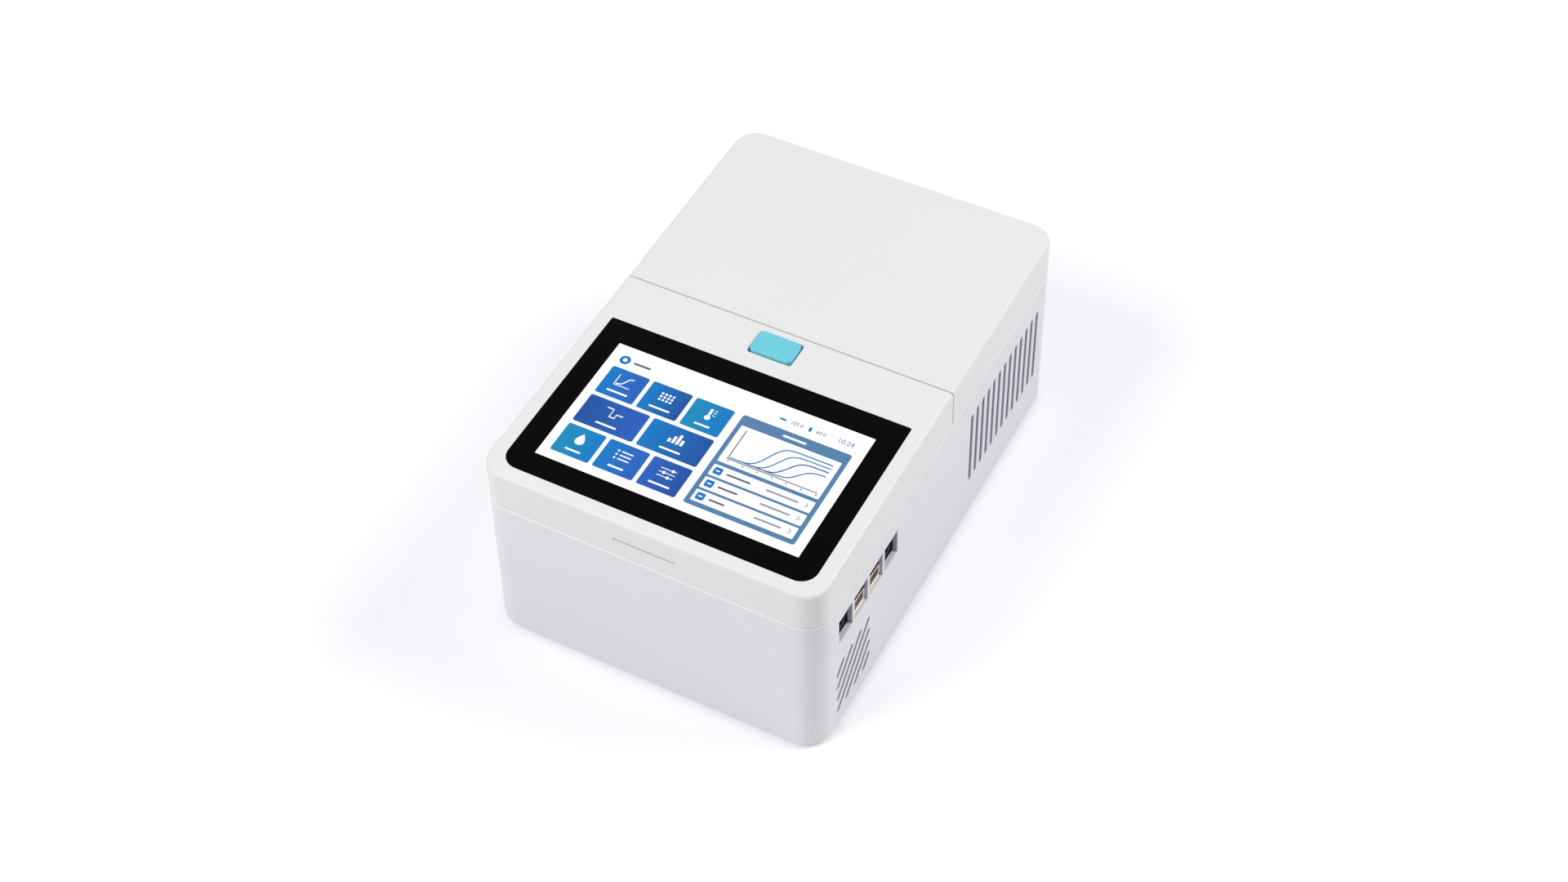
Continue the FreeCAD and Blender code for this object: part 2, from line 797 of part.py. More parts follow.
# The front half of the upper shell: it frames the glass and carries the button, the latch and the status light.
def make_front_cover():
    body = new_body("front_cover")
    drafted_block(body, seam, top - seam)
    sketch = sketch_on(body, "XY_Plane", top)
    rectangle(sketch, (-s.bodyWidth, s.bodyWidth), (gap_front, rear + 1))
    pocket(body, sketch)
    hollow(body, s.wall, lambda face: flat_at(face, seam))
    round_top(body, lambda box: box.YMin < gap_front.value - 1)
    # the glass sits in a recess, and the display looks through it
    depth = s.glassThickness + s.screwGap
    across = about(as_size(0), glass_width + s.glassGap * 2)
    along = (glass_span[0] - s.glassGap, glass_span[1] + s.glassGap)
    sketch = sketch_on(body, "XY_Plane", top)
    rectangle(sketch, across, along)
    pocket(body, sketch, depth)
    round_corners(body, across, along[:1], s.glassRound + s.glassGap, top - depth, top)
    round_corners(body, across, along[1:], s.glassSharpRound, top - depth, top)
    sketch = sketch_on(body, "XY_Plane", top)
    rectangle(sketch, about(as_size(0), display_width + s.fitGap * 2),
              (display_span[0] - s.fitGap, display_span[1] + s.fitGap))
    pocket(body, sketch, s.wall + 1)
    # button well: a hole in the top with a guide wall below it
    hole = (about(as_size(0), s.buttonWidth + s.buttonGap * 2), about(button_y, s.buttonDepth + s.buttonGap * 2))
    inner = (about(as_size(0), s.buttonWidth + s.buttonFlange * 2 + s.fitGap * 2),
             about(button_y, s.buttonDepth + s.buttonFlange * 2 + s.fitGap * 2))
    outer = tuple((low - s.guideWall, high + s.guideWall) for low, high in inner)
    sketch = sketch_on(body, "XY_Plane", top - s.wall - guide_drop)
    rectangle(sketch, *outer)
    rectangle(sketch, *inner)
    pad(body, sketch, guide_drop + s.wall / 2)
    sketch = sketch_on(body, "XY_Plane", top)
    rectangle(sketch, *hole)
    pocket(body, sketch, s.wall + 0.5)
    round_corners(body, *hole, s.buttonRound / 2, top - s.wall, top)
    # slit of the status light
    sketch = sketch_on(body, "XZ_Plane", -(front - 1))
    rectangle(sketch, about(as_size(0), s.lightWidth), about(bottom + s.lightLevel, s.lightHeight))
    pocket(body, sketch, s.wall + 1 + lean * (top - bottom) + 1)
    # the window that the hook reaches through
    sketch = sketch_on(body, "XZ_Plane", -(gap_front + 1))
    rectangle(sketch, about(as_size(0), s.latchWindow), window_z)
    pocket(body, sketch, s.wall + 2, back=True)
    # bosses for the cover's screws
    sketch = sketch_on(body, "XY_Plane", seam)
    for row in ("front", "cover"):
        for side in both_sides:
            circle(sketch, pillar_across * side, pillar_rows[row], s.pillarDiameter / 2)
    pad(body, sketch, top - s.wall - seam + 0.2)
    sketch = sketch_on(body, "XY_Plane", seam)
    for row in ("front", "cover"):
        for side in both_sides:
            circle(sketch, pillar_across * side, pillar_rows[row], screw_hole)
    pocket(body, sketch, s.screwLength, back=True)
    return body


def round_top(body, test):
    fillet(body, s.topRound, lambda edge: level(edge, top.value) and test(edge.BoundBox))


def make_cover_glass():
    body = new_body("cover_glass")
    across, along = about(as_size(0), glass_width), glass_span
    sketch = sketch_on(body, "XY_Plane", glass_under)
    rectangle(sketch, across, along)
    pad(body, sketch, s.glassThickness)
    round_corners(body, across, along[:1], s.glassRound, glass_under, top)
    round_corners(body, across, along[1:], s.glassSharpRound - s.glassGap, glass_under, top)
    return body


display_x, display_y = about(as_size(0), display_width), display_span
display_under = glass_under - s.displayThickness


# The display module, and the folded tray that holds it from below.
def make_display():
    node(block("display_panel", display_x, display_y, (display_under, glass_under)))
    tray_top = display_under - s.screwGap
    floor = block("tray_floor", display_x, display_y, (tray_top - s.bracketThickness, tray_top))
    lips = [block(f"tray_lip_{k}", display_x, along, (tray_top - 6, tray_top))
            for k, along in enumerate(((display_y[0], display_y[0] + s.bracketThickness),
                                       (display_y[1] - s.bracketThickness, display_y[1])))]
    node(fused("display_tray", [floor, *lips]))


def make_status_light():
    level_z = bottom + s.lightLevel
    face = front + lean * s.lightLevel
    return block("status_light", about(as_size(0), s.lightWidth - s.screwGap * 2),
                 (face + 0.3, face + s.wall + 3), about(level_z, s.lightHeight - s.screwGap * 2))


# The deck that is seen when the lid is open, with the window that the block stands in.
def make_inner_deck():
    body = new_body("inner_deck")
    half = side_inside - s.fitGap
    back = rear - s.wall - seam_lean - s.fitGap
    sketch = sketch_on(body, "XY_Plane", deck_under)
    rectangle(sketch, (-half, half), (cover_inside - 3, back))
    pad(body, sketch, s.deckThickness)
    radius = s.cornerRadius - seam_lean - s.wall - s.fitGap
    round_corners(body, (-half, half), (back,), radius, deck_under, deck_top)
    across = about(as_size(0), s.blockWidth + s.windowMargin * 2)
    along = about(cooling, s.blockDepth + s.windowMargin * 2)
    sketch = sketch_on(body, "XY_Plane", deck_top)
    rectangle(sketch, across, along)
    pocket(body, sketch)
    round_corners(body, across, along, s.windowMargin, deck_under, deck_top)
    # screw holes, with a sunk seat for each head
    for radius, depth in ((screw_hole, None), (head_hole, s.headSink)):
        sketch = sketch_on(body, "XY_Plane", deck_top)
        for row in ("deck", "rear"):
            for side in both_sides:
                circle(sketch, pillar_across * side, pillar_rows[row], radius)
        pocket(body, sketch, depth)
    return body


def make_deck_screws():
    return group("deck_screws", [
        screw(f"deck_screw_{row}_{side + 1}", pillar_across * side, pillar_rows[row], deck_top - s.headSink,
              s.deckThickness - s.headSink + s.screwLength - 1, up=False)
        for row in ("deck", "rear") for side in both_sides])


block_top = deck_top - s.blockSink
block_under = block_top - s.blockHeight
sink_top = block_under - s.coolerThickness
sink_plate_under = sink_top - s.sinkPlate
sink_under = sink_top - s.sinkHeight


# The aluminium block: two rows of wells, straight at the mouth and tapered below it.
def make_sample_block():
    body = new_body("sample_block")
    sketch = sketch_on(body, "XY_Plane", block_under)
    rectangle(sketch, about(as_size(0), s.blockWidth), about(cooling, s.blockDepth))
    pad(body, sketch, s.blockHeight)
    chamfer(body, 1.0, upright)
    first = -s.wellPitch * (s.wellColumns - 1) / 2
    mouth, tip = s.wellDiameter / 2, s.wellTipDiameter / 2
    shoulder, floor = block_top - s.wellMouthDepth, block_top - s.wellDepth
    for y in (cooling - s.wellPitch / 2, cooling + s.wellPitch / 2):
        sketch = sketch_on(body, "XZ_Plane", -y, across=first)
        polygon(sketch, [(0, block_top + 1), (0, floor), (tip, floor), (mouth, shoulder), (mouth, block_top + 1)])
        row_pattern(body, groove(body, sketch), "X_Axis", s.wellPitch, s.wellColumns)
    return body


def make_thermal_stack():
    coolers = [block(f"cooler_{k}", about(side * (s.coolerWidth / 2 + 1), s.coolerWidth),
                     about(cooling, s.blockDepth), (sink_top, block_under))
               for k, side in enumerate(both_sides)]
    node(group("peltier_coolers", coolers))
    # insulating collar round the block and the coolers
    gap = s.fitGap
    outer = block("collar_outer", about(as_size(0), s.blockWidth + (s.collarWidth + gap) * 2),
                  about(cooling, s.blockDepth + (s.collarWidth + gap) * 2), (sink_top, deck_under - gap))
    inner = block("collar_inner", about(as_size(0), s.blockWidth + gap * 2),
                  about(cooling, s.blockDepth + gap * 2), (sink_top - 1, deck_top))
    node(cut("block_collar", outer, [inner]))


# Extruded heat sink: a thick plate with fins that run from side to side, in line with the fans.
def make_heat_sink():
    body = new_body("heat_sink")
    sketch = sketch_on(body, "XY_Plane", sink_plate_under)
    rectangle(sketch, about(as_size(0), s.sinkWidth), about(cooling, s.sinkDepth))
    pad(body, sketch, s.sinkPlate)
    sketch = sketch_on(body, "XY_Plane", sink_under)
    first = cooling - s.finPitch * (s.finCount - 1) / 2
    rectangle(sketch, about(as_size(0), s.sinkWidth), about(first, s.finThickness))
    fin = pad(body, sketch, sink_plate_under - sink_under + 0.5)
    row_pattern(body, fin, "Y_Axis", s.finPitch, s.finCount)
    return body


def make_sink_posts():
    across = s.sinkWidth / 2 - s.postInset - s.postDiameter / 2
    along = s.sinkDepth / 2 - s.postInset
    return group("sink_posts", [
        bar(f"sink_post_{k}", "z", (across * side, cooling + along * end), s.postDiameter / 2,
            (plate_top, sink_plate_under))
        for k, (side, end) in enumerate((a, b) for a in both_sides for b in both_sides)])


fan_x = (side_inside - s.fitGap - s.fanThickness, side_inside - s.fitGap)
fan_centres = {"front": cooling - s.fanSize / 2 - s.fitGap, "rear": cooling + s.fanSize / 2 + s.fitGap}


# A square axial fan's frame: round bore, corner holes, and the hub on three struts at the inner side.
def make_fan_frame(row):
    body = new_body(f"fan_frame_{row}")
    y, z = fan_centres[row], grille_level
    sketch = sketch_on(body, "YZ_Plane", fan_x[0])
    rectangle(sketch, about(y, s.fanSize), about(z, s.fanSize))
    pad(body, sketch, s.fanThickness)
    fillet(body, s.fanRound, lambda edge: edge.BoundBox.XLength > 1)
    sketch = sketch_on(body, "YZ_Plane", fan_x[1])
    circle(sketch, y, z, s.fanBore / 2)
    pocket(body, sketch)
    sketch = sketch_on(body, "YZ_Plane", fan_x[1])
    reach = s.fanSize / 2 - s.fanHoleInset
    for a in both_sides:
        for b in both_sides:
            circle(sketch, y + reach * a, z + reach * b, s.fanHole / 2)
    pocket(body, sketch)
    sketch = sketch_on(body, "YZ_Plane", fan_x[0])
    circle(sketch, y, z, s.fanHub / 2)
    pad(body, sketch, s.fanBack)
    sketch = sketch_on(body, "YZ_Plane", fan_x[0])
    circle(sketch, y, z, s.fanPin / 2)
    pad(body, sketch, s.fanThickness * 0.75)
    for turn in (90, 210, 330):
        direction = Vector(math.cos(math.radians(turn)), math.sin(math.radians(turn)), 0)
        normal = Vector(-direction.y, direction.x, 0)
        sketch = sketch_on(body, "YZ_Plane", fan_x[0])
        reach, half = s.fanBore / 2 + 0.6, s.fanStrut / 2
        corners = [(reach * direction.x * far + half * normal.x * turned,
                    reach * direction.y * far + half * normal.y * turned)
                   for far, turned in ((0, -1), (1, -1), (1, 1), (0, 1))]
        polygon(sketch, [(y + u, z + v) for u, v in corners])
        pad(body, sketch, s.fanBack)
    return body


# The fan's rotor: a hub with pitched blades, each from its root inside the hub to its tip.
def make_fan_rotor(row):
    body = new_body(f"fan_rotor_{row}")
    place(body, fan_x[0], fan_centres[row], grille_level)
    start, end = s.fanBack + s.bladeGap, s.fanThickness - s.bladeGap
    sketch = sketch_on(body, "YZ_Plane", start)
    circle(sketch, 0, 0, s.fanHub / 2)
    pad(body, sketch, end - start)
    fillet(body, 1.0, lambda edge: edge.BoundBox.XLength < near and abs(edge.BoundBox.XMax - end.value) < near)
    sketch = sketch_on(body, "YZ_Plane", start)
    circle(sketch, 0, 0, s.fanPin / 2 + s.runningGap)
    pocket(body, sketch, s.fanThickness * 0.75 + s.fitGap - start, back=True)
    root, half = s.fanHub / 2 - 1, s.bladeThickness / 2
    sketch = sketch_on(body, "XZ_Plane", root)
    polygon(sketch, [(start + 0.5, -s.bladeLean - half), (start + 0.5, half - s.bladeLean),
                     (end - 0.5, s.bladeLean + half), (end - 0.5, s.bladeLean - half)])
    blade = pad(body, sketch, s.fanBore / 2 - s.bladeGap - root)
    ring = body.newObject("PartDesign::PolarPattern", f"{body.Name}Blades")
    ring.Originals = [blade]
    ring.Axis = (origin_part(body, "X_Axis"), [""])
    ring.Angle = 360
    bind(ring, "Occurrences", s.bladeCount)
    body.Tip = ring
    doc.recompute()
    return body


def make_air_duct():
    low, high = about(grille_level, s.fanSize)
    y0, y1 = fan_centres["front"] - s.fanSize / 2, fan_centres["rear"] + s.fanSize / 2
    span = (s.sinkWidth / 2 + s.fitGap, fan_x[0] - s.fitGap)
    sleeve = block("duct_outer", span, (y0, y1), (low, high))
    bore = block("duct_bore", (span[0] - 1, span[1] + 1), (y0 + s.ductWall, y1 - s.ductWall),
                 (low + s.ductWall, high - s.ductWall))
    return cut("air_duct", sleeve, [bore])


for make in (make_bottom_plate, make_feet, make_bottom_screws, make_front_cover, make_cover_screws, make_cover_glass):
    node(make())
make_display()
for make in (make_status_light, make_inner_deck, make_deck_screws, make_sample_block):
    node(make())
make_thermal_stack()
for make in (make_heat_sink, make_sink_posts, make_air_duct):
    node(make())
for row in fan_centres:
    node(make_fan_frame(row))
    node(make_fan_rotor(row))


# The rear half of the upper shell. It turns with the hinges, and its skirts come down to the seam all round.
def make_lid_shell():
    body = new_body("lid_shell")
    drafted_block(body, lid_base, top - lid_base)
    sketch = sketch_on(body, "XY_Plane", top)
    rectangle(sketch, (-s.bodyWidth, s.bodyWidth), (front - 1, gap_rear))
    pocket(body, sketch)
    hollow(body, s.wall, lambda face: flat_at(face, lid_base))
    round_top(body, lambda box: box.YMax > gap_rear.value + 1)
    # recess of the strike plate, and the mouth that the hook's nose enters
    sketch = sketch_on(body, "XZ_Plane", -(gap_rear - 1))
    rectangle(sketch, about(as_size(0), s.strikeWidth + s.screwGap * 2), strike_z)
    pocket(body, sketch, s.strikePlate + s.screwGap * 2 + 1)
    sketch = sketch_on(body, "XZ_Plane", -(gap_rear - 1))
    rectangle(sketch, about(as_size(0), s.latchWindow), window_z)
    pocket(body, sketch, s.wall + 2)
    # seats of the hinge leaves
    sketch = sketch_on(body, "XZ_Plane", -(rear + 1))
    for side in both_sides:
        rectangle(sketch, about(s.hingeCentre * side, s.hingeWidth + s.fitGap * 2),
                  (seam - 1, seam + s.hingeLeafHeight + s.fitGap))
    pocket(body, sketch, rear + 1 - hinge_seat, back=True)
    # bosses for the liner's screws, and short ones that the float pins end in
    inner_top = top - s.wall
    sketch = sketch_on(body, "XY_Plane", liner_top)
    for x, y in liner_screws:
        circle(sketch, x, y, s.pillarDiameter / 2)
    pad(body, sketch, inner_top - liner_top + 0.2)
    sketch = sketch_on(body, "XY_Plane", liner_top)
    for x, y in liner_screws:
        circle(sketch, x, y, screw_hole)
    pocket(body, sketch, s.screwLength, back=True)
    sketch = sketch_on(body, "XY_Plane", pin_seat)
    for x, y in float_pins:
        circle(sketch, x, y, s.floatPin / 2 + 2)
    pad(body, sketch, inner_top - pin_seat + 0.2)
    return body


strike_z = (window_z[0] - 2, window_z[1] + 2)
liner_under = seam + s.linerDrop
liner_top = liner_under + s.linerThickness
liner_side = side_inside - s.fitGap
liner_back = rear - s.wall - seam_lean - s.fitGap
liner_screws = [(side * pillar_across, y) for side in both_sides
                for y in (gap_rear + s.pillarInset, rear - s.pillarInset * 1.3)]
plate_low = block_top + s.plateLevel
flange_low = liner_top + s.runningGap
flange_top = flange_low + s.plateFlange
inner_top = top - s.wall
pin_seat = flange_top + s.screwLength
float_pins = [(s.floatPinSpread * a, cooling + s.floatPinRow * b) for a in both_sides for b in both_sides]
rod_z = top - s.rodDrop
lead_y, lead_z = cooling + s.screwOffset, top - s.screwDrop


# The lid's inner cover, with the window that the heated plate shows through.
def make_lid_liner():
    body = new_body("lid_liner")
    sketch = sketch_on(body, "XY_Plane", liner_under)
    rectangle(sketch, (-liner_side, liner_side), (gap_rear + s.wall + s.fitGap, liner_back))
    pad(body, sketch, s.linerThickness)
    radius = s.cornerRadius - seam_lean - s.wall - s.fitGap
    round_corners(body, (-liner_side, liner_side), (liner_back,), radius, liner_under, liner_top)
    across = about(as_size(0), s.plateWidth + s.fitGap * 4)
    along = about(cooling, s.plateDepth + s.fitGap * 4)
    sketch = sketch_on(body, "XY_Plane", liner_top)
    rectangle(sketch, across, along)
    pocket(body, sketch)
    round_corners(body, across, along, s.windowMargin, liner_under, liner_top)
    sketch = sketch_on(body, "XY_Plane", liner_top)
    for x, y in liner_screws:
        circle(sketch, x, y, screw_hole)
    pocket(body, sketch)
    sketch = sketch_on(body, "XY_Plane", liner_under)
    for x, y in liner_screws:
        circle(sketch, x, y, head_hole)
    pocket(body, sketch, s.screwHeadHeight + s.screwGap, back=True)
    return body


def make_lid_screws():
    return group("lid_screws", [
        screw(f"lid_screw_{k}", x, y, liner_under + s.screwHeadHeight + s.screwGap, s.screwLength)
        for k, (x, y) in enumerate(liner_screws)])


# A soft ring on the liner that closes the chamber round the block.
def make_lid_gasket():
    span = (deck_top + s.fitGap, liner_under)
    wide, deep = s.blockWidth + s.gasketMargin * 2, s.blockDepth + s.gasketMargin * 2
    outer = block("gasket_outer", about(as_size(0), wide), about(cooling, deep), span)
    inner = block("gasket_inner", about(as_size(0), wide - s.gasketWidth * 2),
                  about(cooling, deep - s.gasketWidth * 2), (span[0] - 1, span[1] + 1))
    return cut("lid_gasket", outer, [inner])


# The heated plate: a boss that shows under the liner, a flange that rests on it, and a sight hole over each well.
def make_heated_plate():
    body = new_body("heated_plate")
    across, along = about(as_size(0), s.plateWidth), about(cooling, s.plateDepth)
    sketch = sketch_on(body, "XY_Plane", plate_low)
    rectangle(sketch, across, along)
    pad(body, sketch, flange_top - plate_low)
    round_corners(body, across, along, s.windowMargin - s.fitGap, plate_low, flange_top)
    sketch = sketch_on(body, "XY_Plane", flange_low)
    rectangle(sketch, about(as_size(0), s.plateFlangeWidth), about(cooling, s.plateFlangeDepth))
    pad(body, sketch, s.plateFlange)
    sketch = sketch_on(body, "XY_Plane", flange_top)
    for y in (cooling - s.wellPitch / 2, cooling + s.wellPitch / 2):
        circle(sketch, -s.wellPitch * (s.wellColumns - 1) / 2, y, s.sightHole / 2)
    row_pattern(body, pocket(body, sketch), "X_Axis", s.wellPitch, s.wellColumns)
    sketch = sketch_on(body, "XY_Plane", flange_top)
    for x, y in float_pins:
        circle(sketch, x, y, s.floatPin / 2 + s.fitGap)
    pocket(body, sketch)
    return body


def make_heater_pad():
    span = (flange_top, flange_top + s.padThickness)
    outer = block("pad_outer", about(as_size(0), s.plateWidth + 6), about(cooling, s.plateDepth + 4), span)
    inner = block("pad_inner", about(as_size(0), s.wellPitch * s.wellColumns), about(cooling, s.wellPitch * 2),
                  (span[0] - 1, span[1] + 1))
    return cut("heater_pad", outer, [inner])


# A compression spring along Z: its wire follows a helix in short straight runs, with mitred joints.
def spring(label, x, y, low, high, coils):
    radius = (s.springDiameter.value - s.springWire.value) / 2
    wire = s.springWire.value / 2
    rise = high.value - low.value - 2 * wire
    count = coils * 10
    angles = [2 * math.pi * k * coils / count for k in range(count + 1)]
    path = [Vector(radius * math.cos(a), radius * math.sin(a), rise * k / count + wire) for k, a in enumerate(angles)]
    ring = [Vector(radius + wire * math.cos(a), 0, wire + wire * math.sin(a))
            for a in (math.pi * (k + 0.5) / 3 for k in range(7))]
    coil = doc.addObject("Part::Feature", label)
    coil.Shape = Part.makePolygon(path).makePipeShell([Part.makePolygon(ring)], True, True, 1)
    coil.Label = label
    place(coil, x, y, low)
    return coil


def make_plate_springs():
    return group("plate_springs", [
        spring(f"plate_spring_{k}", x, y, flange_top, pin_seat, 4)
        for k, (x, y) in enumerate(float_pins)])


def make_float_pins():
    return group("float_pins", [
        bar(f"float_pin_{k}", "z", (x, y), s.floatPin / 2, (liner_top, pin_seat))
        for k, (x, y) in enumerate(float_pins)])


# One hinge leaf and its knuckles; the base leaf hangs down with two outer knuckles, the lid leaf stands up with one.
def hinge_leaf(label, side, direction):
    centre = s.hingeCentre * side
    y, z = hinge_axis
    clear = s.knuckleRadius + s.fitGap
    back = (hinge_seat, hinge_seat + s.hingeLeaf)
    x0, x1 = about(centre, s.hingeWidth)
    m0, m1 = about(centre, s.knuckleWidth)
    if direction > 0:
        spans = [(m0, m1)]
        leaf_z = (z + clear, seam + s.hingeLeafHeight)
        webs = (z, z + clear)
    else:
        spans = [(x0, m0 - s.fitGap), (m1 + s.fitGap, x1)]
        leaf_z = (seam - s.hingeLeafHeight, z - clear)
        webs = (z - clear, z)
    pieces = [block(f"{label}_leaf", (x0, x1), back, leaf_z)]
    for k, span in enumerate(spans):
        pieces.append(block(f"{label}_web_{k}", span, back, webs))
        pieces.append(bar(f"{label}_knuckle_{k}", "x", (y, z), s.knuckleRadius, span))
    whole = fused(f"{label}_whole", pieces)
    return cut(label, whole, [bar(f"{label}_bore", "x", (y, z), s.hingePin / 2 + s.runningGap, (x0 - 1, x1 + 1))])


def make_hinges():
    for name, direction in (("hinge_base_leaves", -1), ("hinge_lid_leaves", 1)):
        node(group(name, [hinge_leaf(f"{name}_{k}", side, direction) for k, side in enumerate(both_sides)]))
    node(group("hinge_pins", [
        bar(f"hinge_pin_{k}", "x", hinge_axis, s.hingePin / 2, about(s.hingeCentre * side, s.hingeWidth))
        for k, side in enumerate(both_sides)]))


arm_top = hook_z + s.hookThickness / 2
stem_y = hook_y - s.hookArm
shelf_top = hook_z + s.hookHub + s.fitGap * 4
button_low = top - s.wall - s.fitGap
flange_under = button_low - s.buttonFlange


# The push button: a round-cornered cap with a dished front edge, a flange that keeps it in, and a stem to the hook.
def make_latch_button():
    body = new_body("latch_button")
    across, along = about(as_size(0), s.buttonWidth), about(button_y, s.buttonDepth)
    cap_top = top + s.buttonProud
    sketch = sketch_on(body, "XY_Plane", flange_under)
    rectangle(sketch, across, along)
    pad(body, sketch, cap_top - flange_under)
    round_corners(body, across, along, s.buttonRound, flange_under, cap_top)
    fillet(body, 1.2, lambda edge: level(edge, cap_top.value))
    sketch = sketch_on(body, "XY_Plane", flange_under)
    flange = s.buttonFlange
    rectangle(sketch, (across[0] - flange, across[1] + flange), (along[0] - flange, along[1] + flange))
    pad(body, sketch, flange)
    sketch = sketch_on(body, "XY_Plane", arm_top + s.fitGap)
    rectangle(sketch, about(as_size(0), s.hookWidth - 1.6), about(stem_y, s.hookThickness))
    pad(body, sketch, flange_under - arm_top)
    return body


# The hook: a bell crank with an arm under the button's stem, and an upright arm whose nose points at the lid.
def make_latch_hook():
    body = new_body("latch_hook")
    half, thick = s.hookWidth / 2, s.hookThickness
    sketch = sketch_on(body, "YZ_Plane", -half)
    nose = gap_front + s.hookReach
    high = hook_z + s.hookHeight
    polygon(sketch, [
        (stem_y - thick, hook_z - thick / 2), (hook_y + thick / 2, hook_z - thick / 2),
        (hook_y + thick / 2, high - thick), (nose, high - thick), (nose, high - thick / 2),
        (nose - thick / 2, high), (hook_y - thick / 2, high), (hook_y - thick / 2, arm_top), (stem_y - thick, arm_top)])
    pad(body, sketch, s.hookWidth)
    sketch = sketch_on(body, "YZ_Plane", -half)
    circle(sketch, hook_y, hook_z, s.hookHub)
    pad(body, sketch, s.hookWidth)
    sketch = sketch_on(body, "YZ_Plane", half)
    circle(sketch, hook_y, hook_z, s.hingePin / 2 + s.runningGap)
    pocket(body, sketch)
    return body


def make_latch_bracket():
    ear_in = s.hookWidth / 2 + s.fitGap
    ear_out = ear_in + s.strikePlate
    wide = s.buttonWidth / 2
    low = hook_z - s.hookHub - s.fitGap
    front_edge = stem_y - s.hookThickness * 2
    shelf = block("bracket_shelf", (-wide, wide), (front_edge, cover_inside), (shelf_top - 1.2, shelf_top))
    slit = block("bracket_slit", (-ear_in, ear_in), (front_edge + 1.2, cover_inside + 1), (shelf_top - 2, shelf_top + 1))
    pieces = [cut("bracket_plate", shelf, [slit])]
    for k, side in enumerate(both_sides):
        ear = sorted((ear_in * side, ear_out * side), key=lambda size: size.value)
        wing = sorted((ear_in * side, wide * side), key=lambda size: size.value)
        pieces.append(block(f"bracket_ear_{k}", ear, (hook_y - s.hookHub, cover_inside), (low, shelf_top - 0.6)))
        pieces.append(block(f"bracket_wing_{k}", wing, (cover_inside - 1.2, cover_inside), (low, shelf_top - 0.6)))
    whole = fused("bracket_whole", pieces)
    hole = bar("bracket_hole", "x", (hook_y, hook_z), s.hingePin / 2 + s.runningGap, (-ear_out - 1, ear_out + 1))
    return cut("latch_bracket", whole, [hole])


def make_latch_pin():
    reach = s.hookWidth / 2 + s.fitGap + s.strikePlate + 0.6
    return bar("latch_pin", "x", (hook_y, hook_z), s.hingePin / 2, (-reach, reach))


def make_button_springs():
    return group("button_springs", [
        spring(f"button_spring_{k}", s.springSpread * side, button_y, shelf_top, flange_under, 5)
        for k, side in enumerate(both_sides)])


def make_latch_strike():
    y = (gap_rear + s.screwGap, gap_rear + s.screwGap + s.strikePlate)
    plate = block("strike_plate", about(as_size(0), s.strikeWidth), y, (strike_z[0] + 0.1, strike_z[1] - 0.1))
    mouth = block("strike_mouth", about(as_size(0), s.latchWindow - 1.4), (y[0] - 1, y[1] + 1),
                  (window_z[0] + 1.2, window_z[1] - 0.6))
    return cut("latch_strike", plate, [mouth])


# Optics inside the lid: a carriage on two rods, drawn along the rows of wells by a lead screw.
carriage_home = -s.wellPitch * (s.wellColumns - 1) / 2
carriage_y = (cooling - s.carriageDepth / 2 + 4, cooling + s.carriageDepth / 2 + 4)
carriage_z = (rod_z - s.carriageHeight / 2, rod_z + s.carriageHeight / 2)
rods = (cooling - s.rodSpread, cooling + s.rodSpread * 0.85)


def make_optics():
    across = about(carriage_home, s.carriageWidth)
    bridge = block("carriage_bridge", across, carriage_y, carriage_z)
    ear = block("carriage_ear", across, about(lead_y, s.leadDiameter + 4), (lead_z - s.leadDiameter / 2 - 1.5, rod_z))
    bores = [bar(f"carriage_bore_{k}", "x", (y, rod_z), s.rodDiameter / 2 + s.runningGap,
                 (across[0] - 1, across[1] + 1)) for k, y in enumerate(rods)]
    bores.append(bar("carriage_nut", "x", (lead_y, lead_z), s.leadDiameter / 2 + s.runningGap,
                     (across[0] - 1, across[1] + 1)))
    lens_rows = (cooling - s.wellPitch / 2, cooling + s.wellPitch / 2)
    bores += [bar(f"carriage_lens_seat_{k}", "z", (carriage_home, y), s.lensDiameter / 2,
                  (carriage_z[0] - 1, carriage_z[0] + 2)) for k, y in enumerate(lens_rows)]
    node(cut("optics_carriage", fused("carriage_whole", [bridge, ear]), bores))
    node(group("optics_lenses", [
        bar(f"optics_lens_{k}", "z", (carriage_home, y), s.lensDiameter / 2 - 0.1, (carriage_z[0] + 0.2, carriage_z[0] + 2))
        for k, y in enumerate(lens_rows)]))
    blocks, reach = [], s.railCentre + s.railBlock / 2
    for k, side in enumerate(both_sides):
        span = about(s.railCentre * side, s.railBlock)
        solid = block(f"rail_block_{k}", span, (carriage_y[0], carriage_y[1] + 2), (liner_top, carriage_z[1]))
        holes = [bar(f"rail_hole_{k}_{n}", "x", (y, rod_z), s.rodDiameter / 2 + s.runningGap,
                     (span[0] - 1, span[1] + 1)) for n, y in enumerate(rods)]
        holes.append(bar(f"rail_hole_{k}_lead", "x", (lead_y, lead_z), s.leadDiameter / 2 + s.runningGap,
                         (span[0] - 1, span[1] + 1)))
        blocks.append(cut(f"rail_{k}", solid, holes))
    node(group("rail_blocks", blocks))
    node(group("guide_rods", [bar(f"guide_rod_{k}", "x", (y, rod_z), s.rodDiameter / 2, (-reach, reach))
                              for k, y in enumerate(rods)]))
    node(bar("lead_screw", "x", (lead_y, lead_z), s.leadDiameter / 2, (-reach, reach - s.fitGap)))
    motor = (reach, reach + s.motorLength)
    node(block("stepper_motor", motor, about(lead_y, s.motorSize), about(lead_z, s.motorSize)))


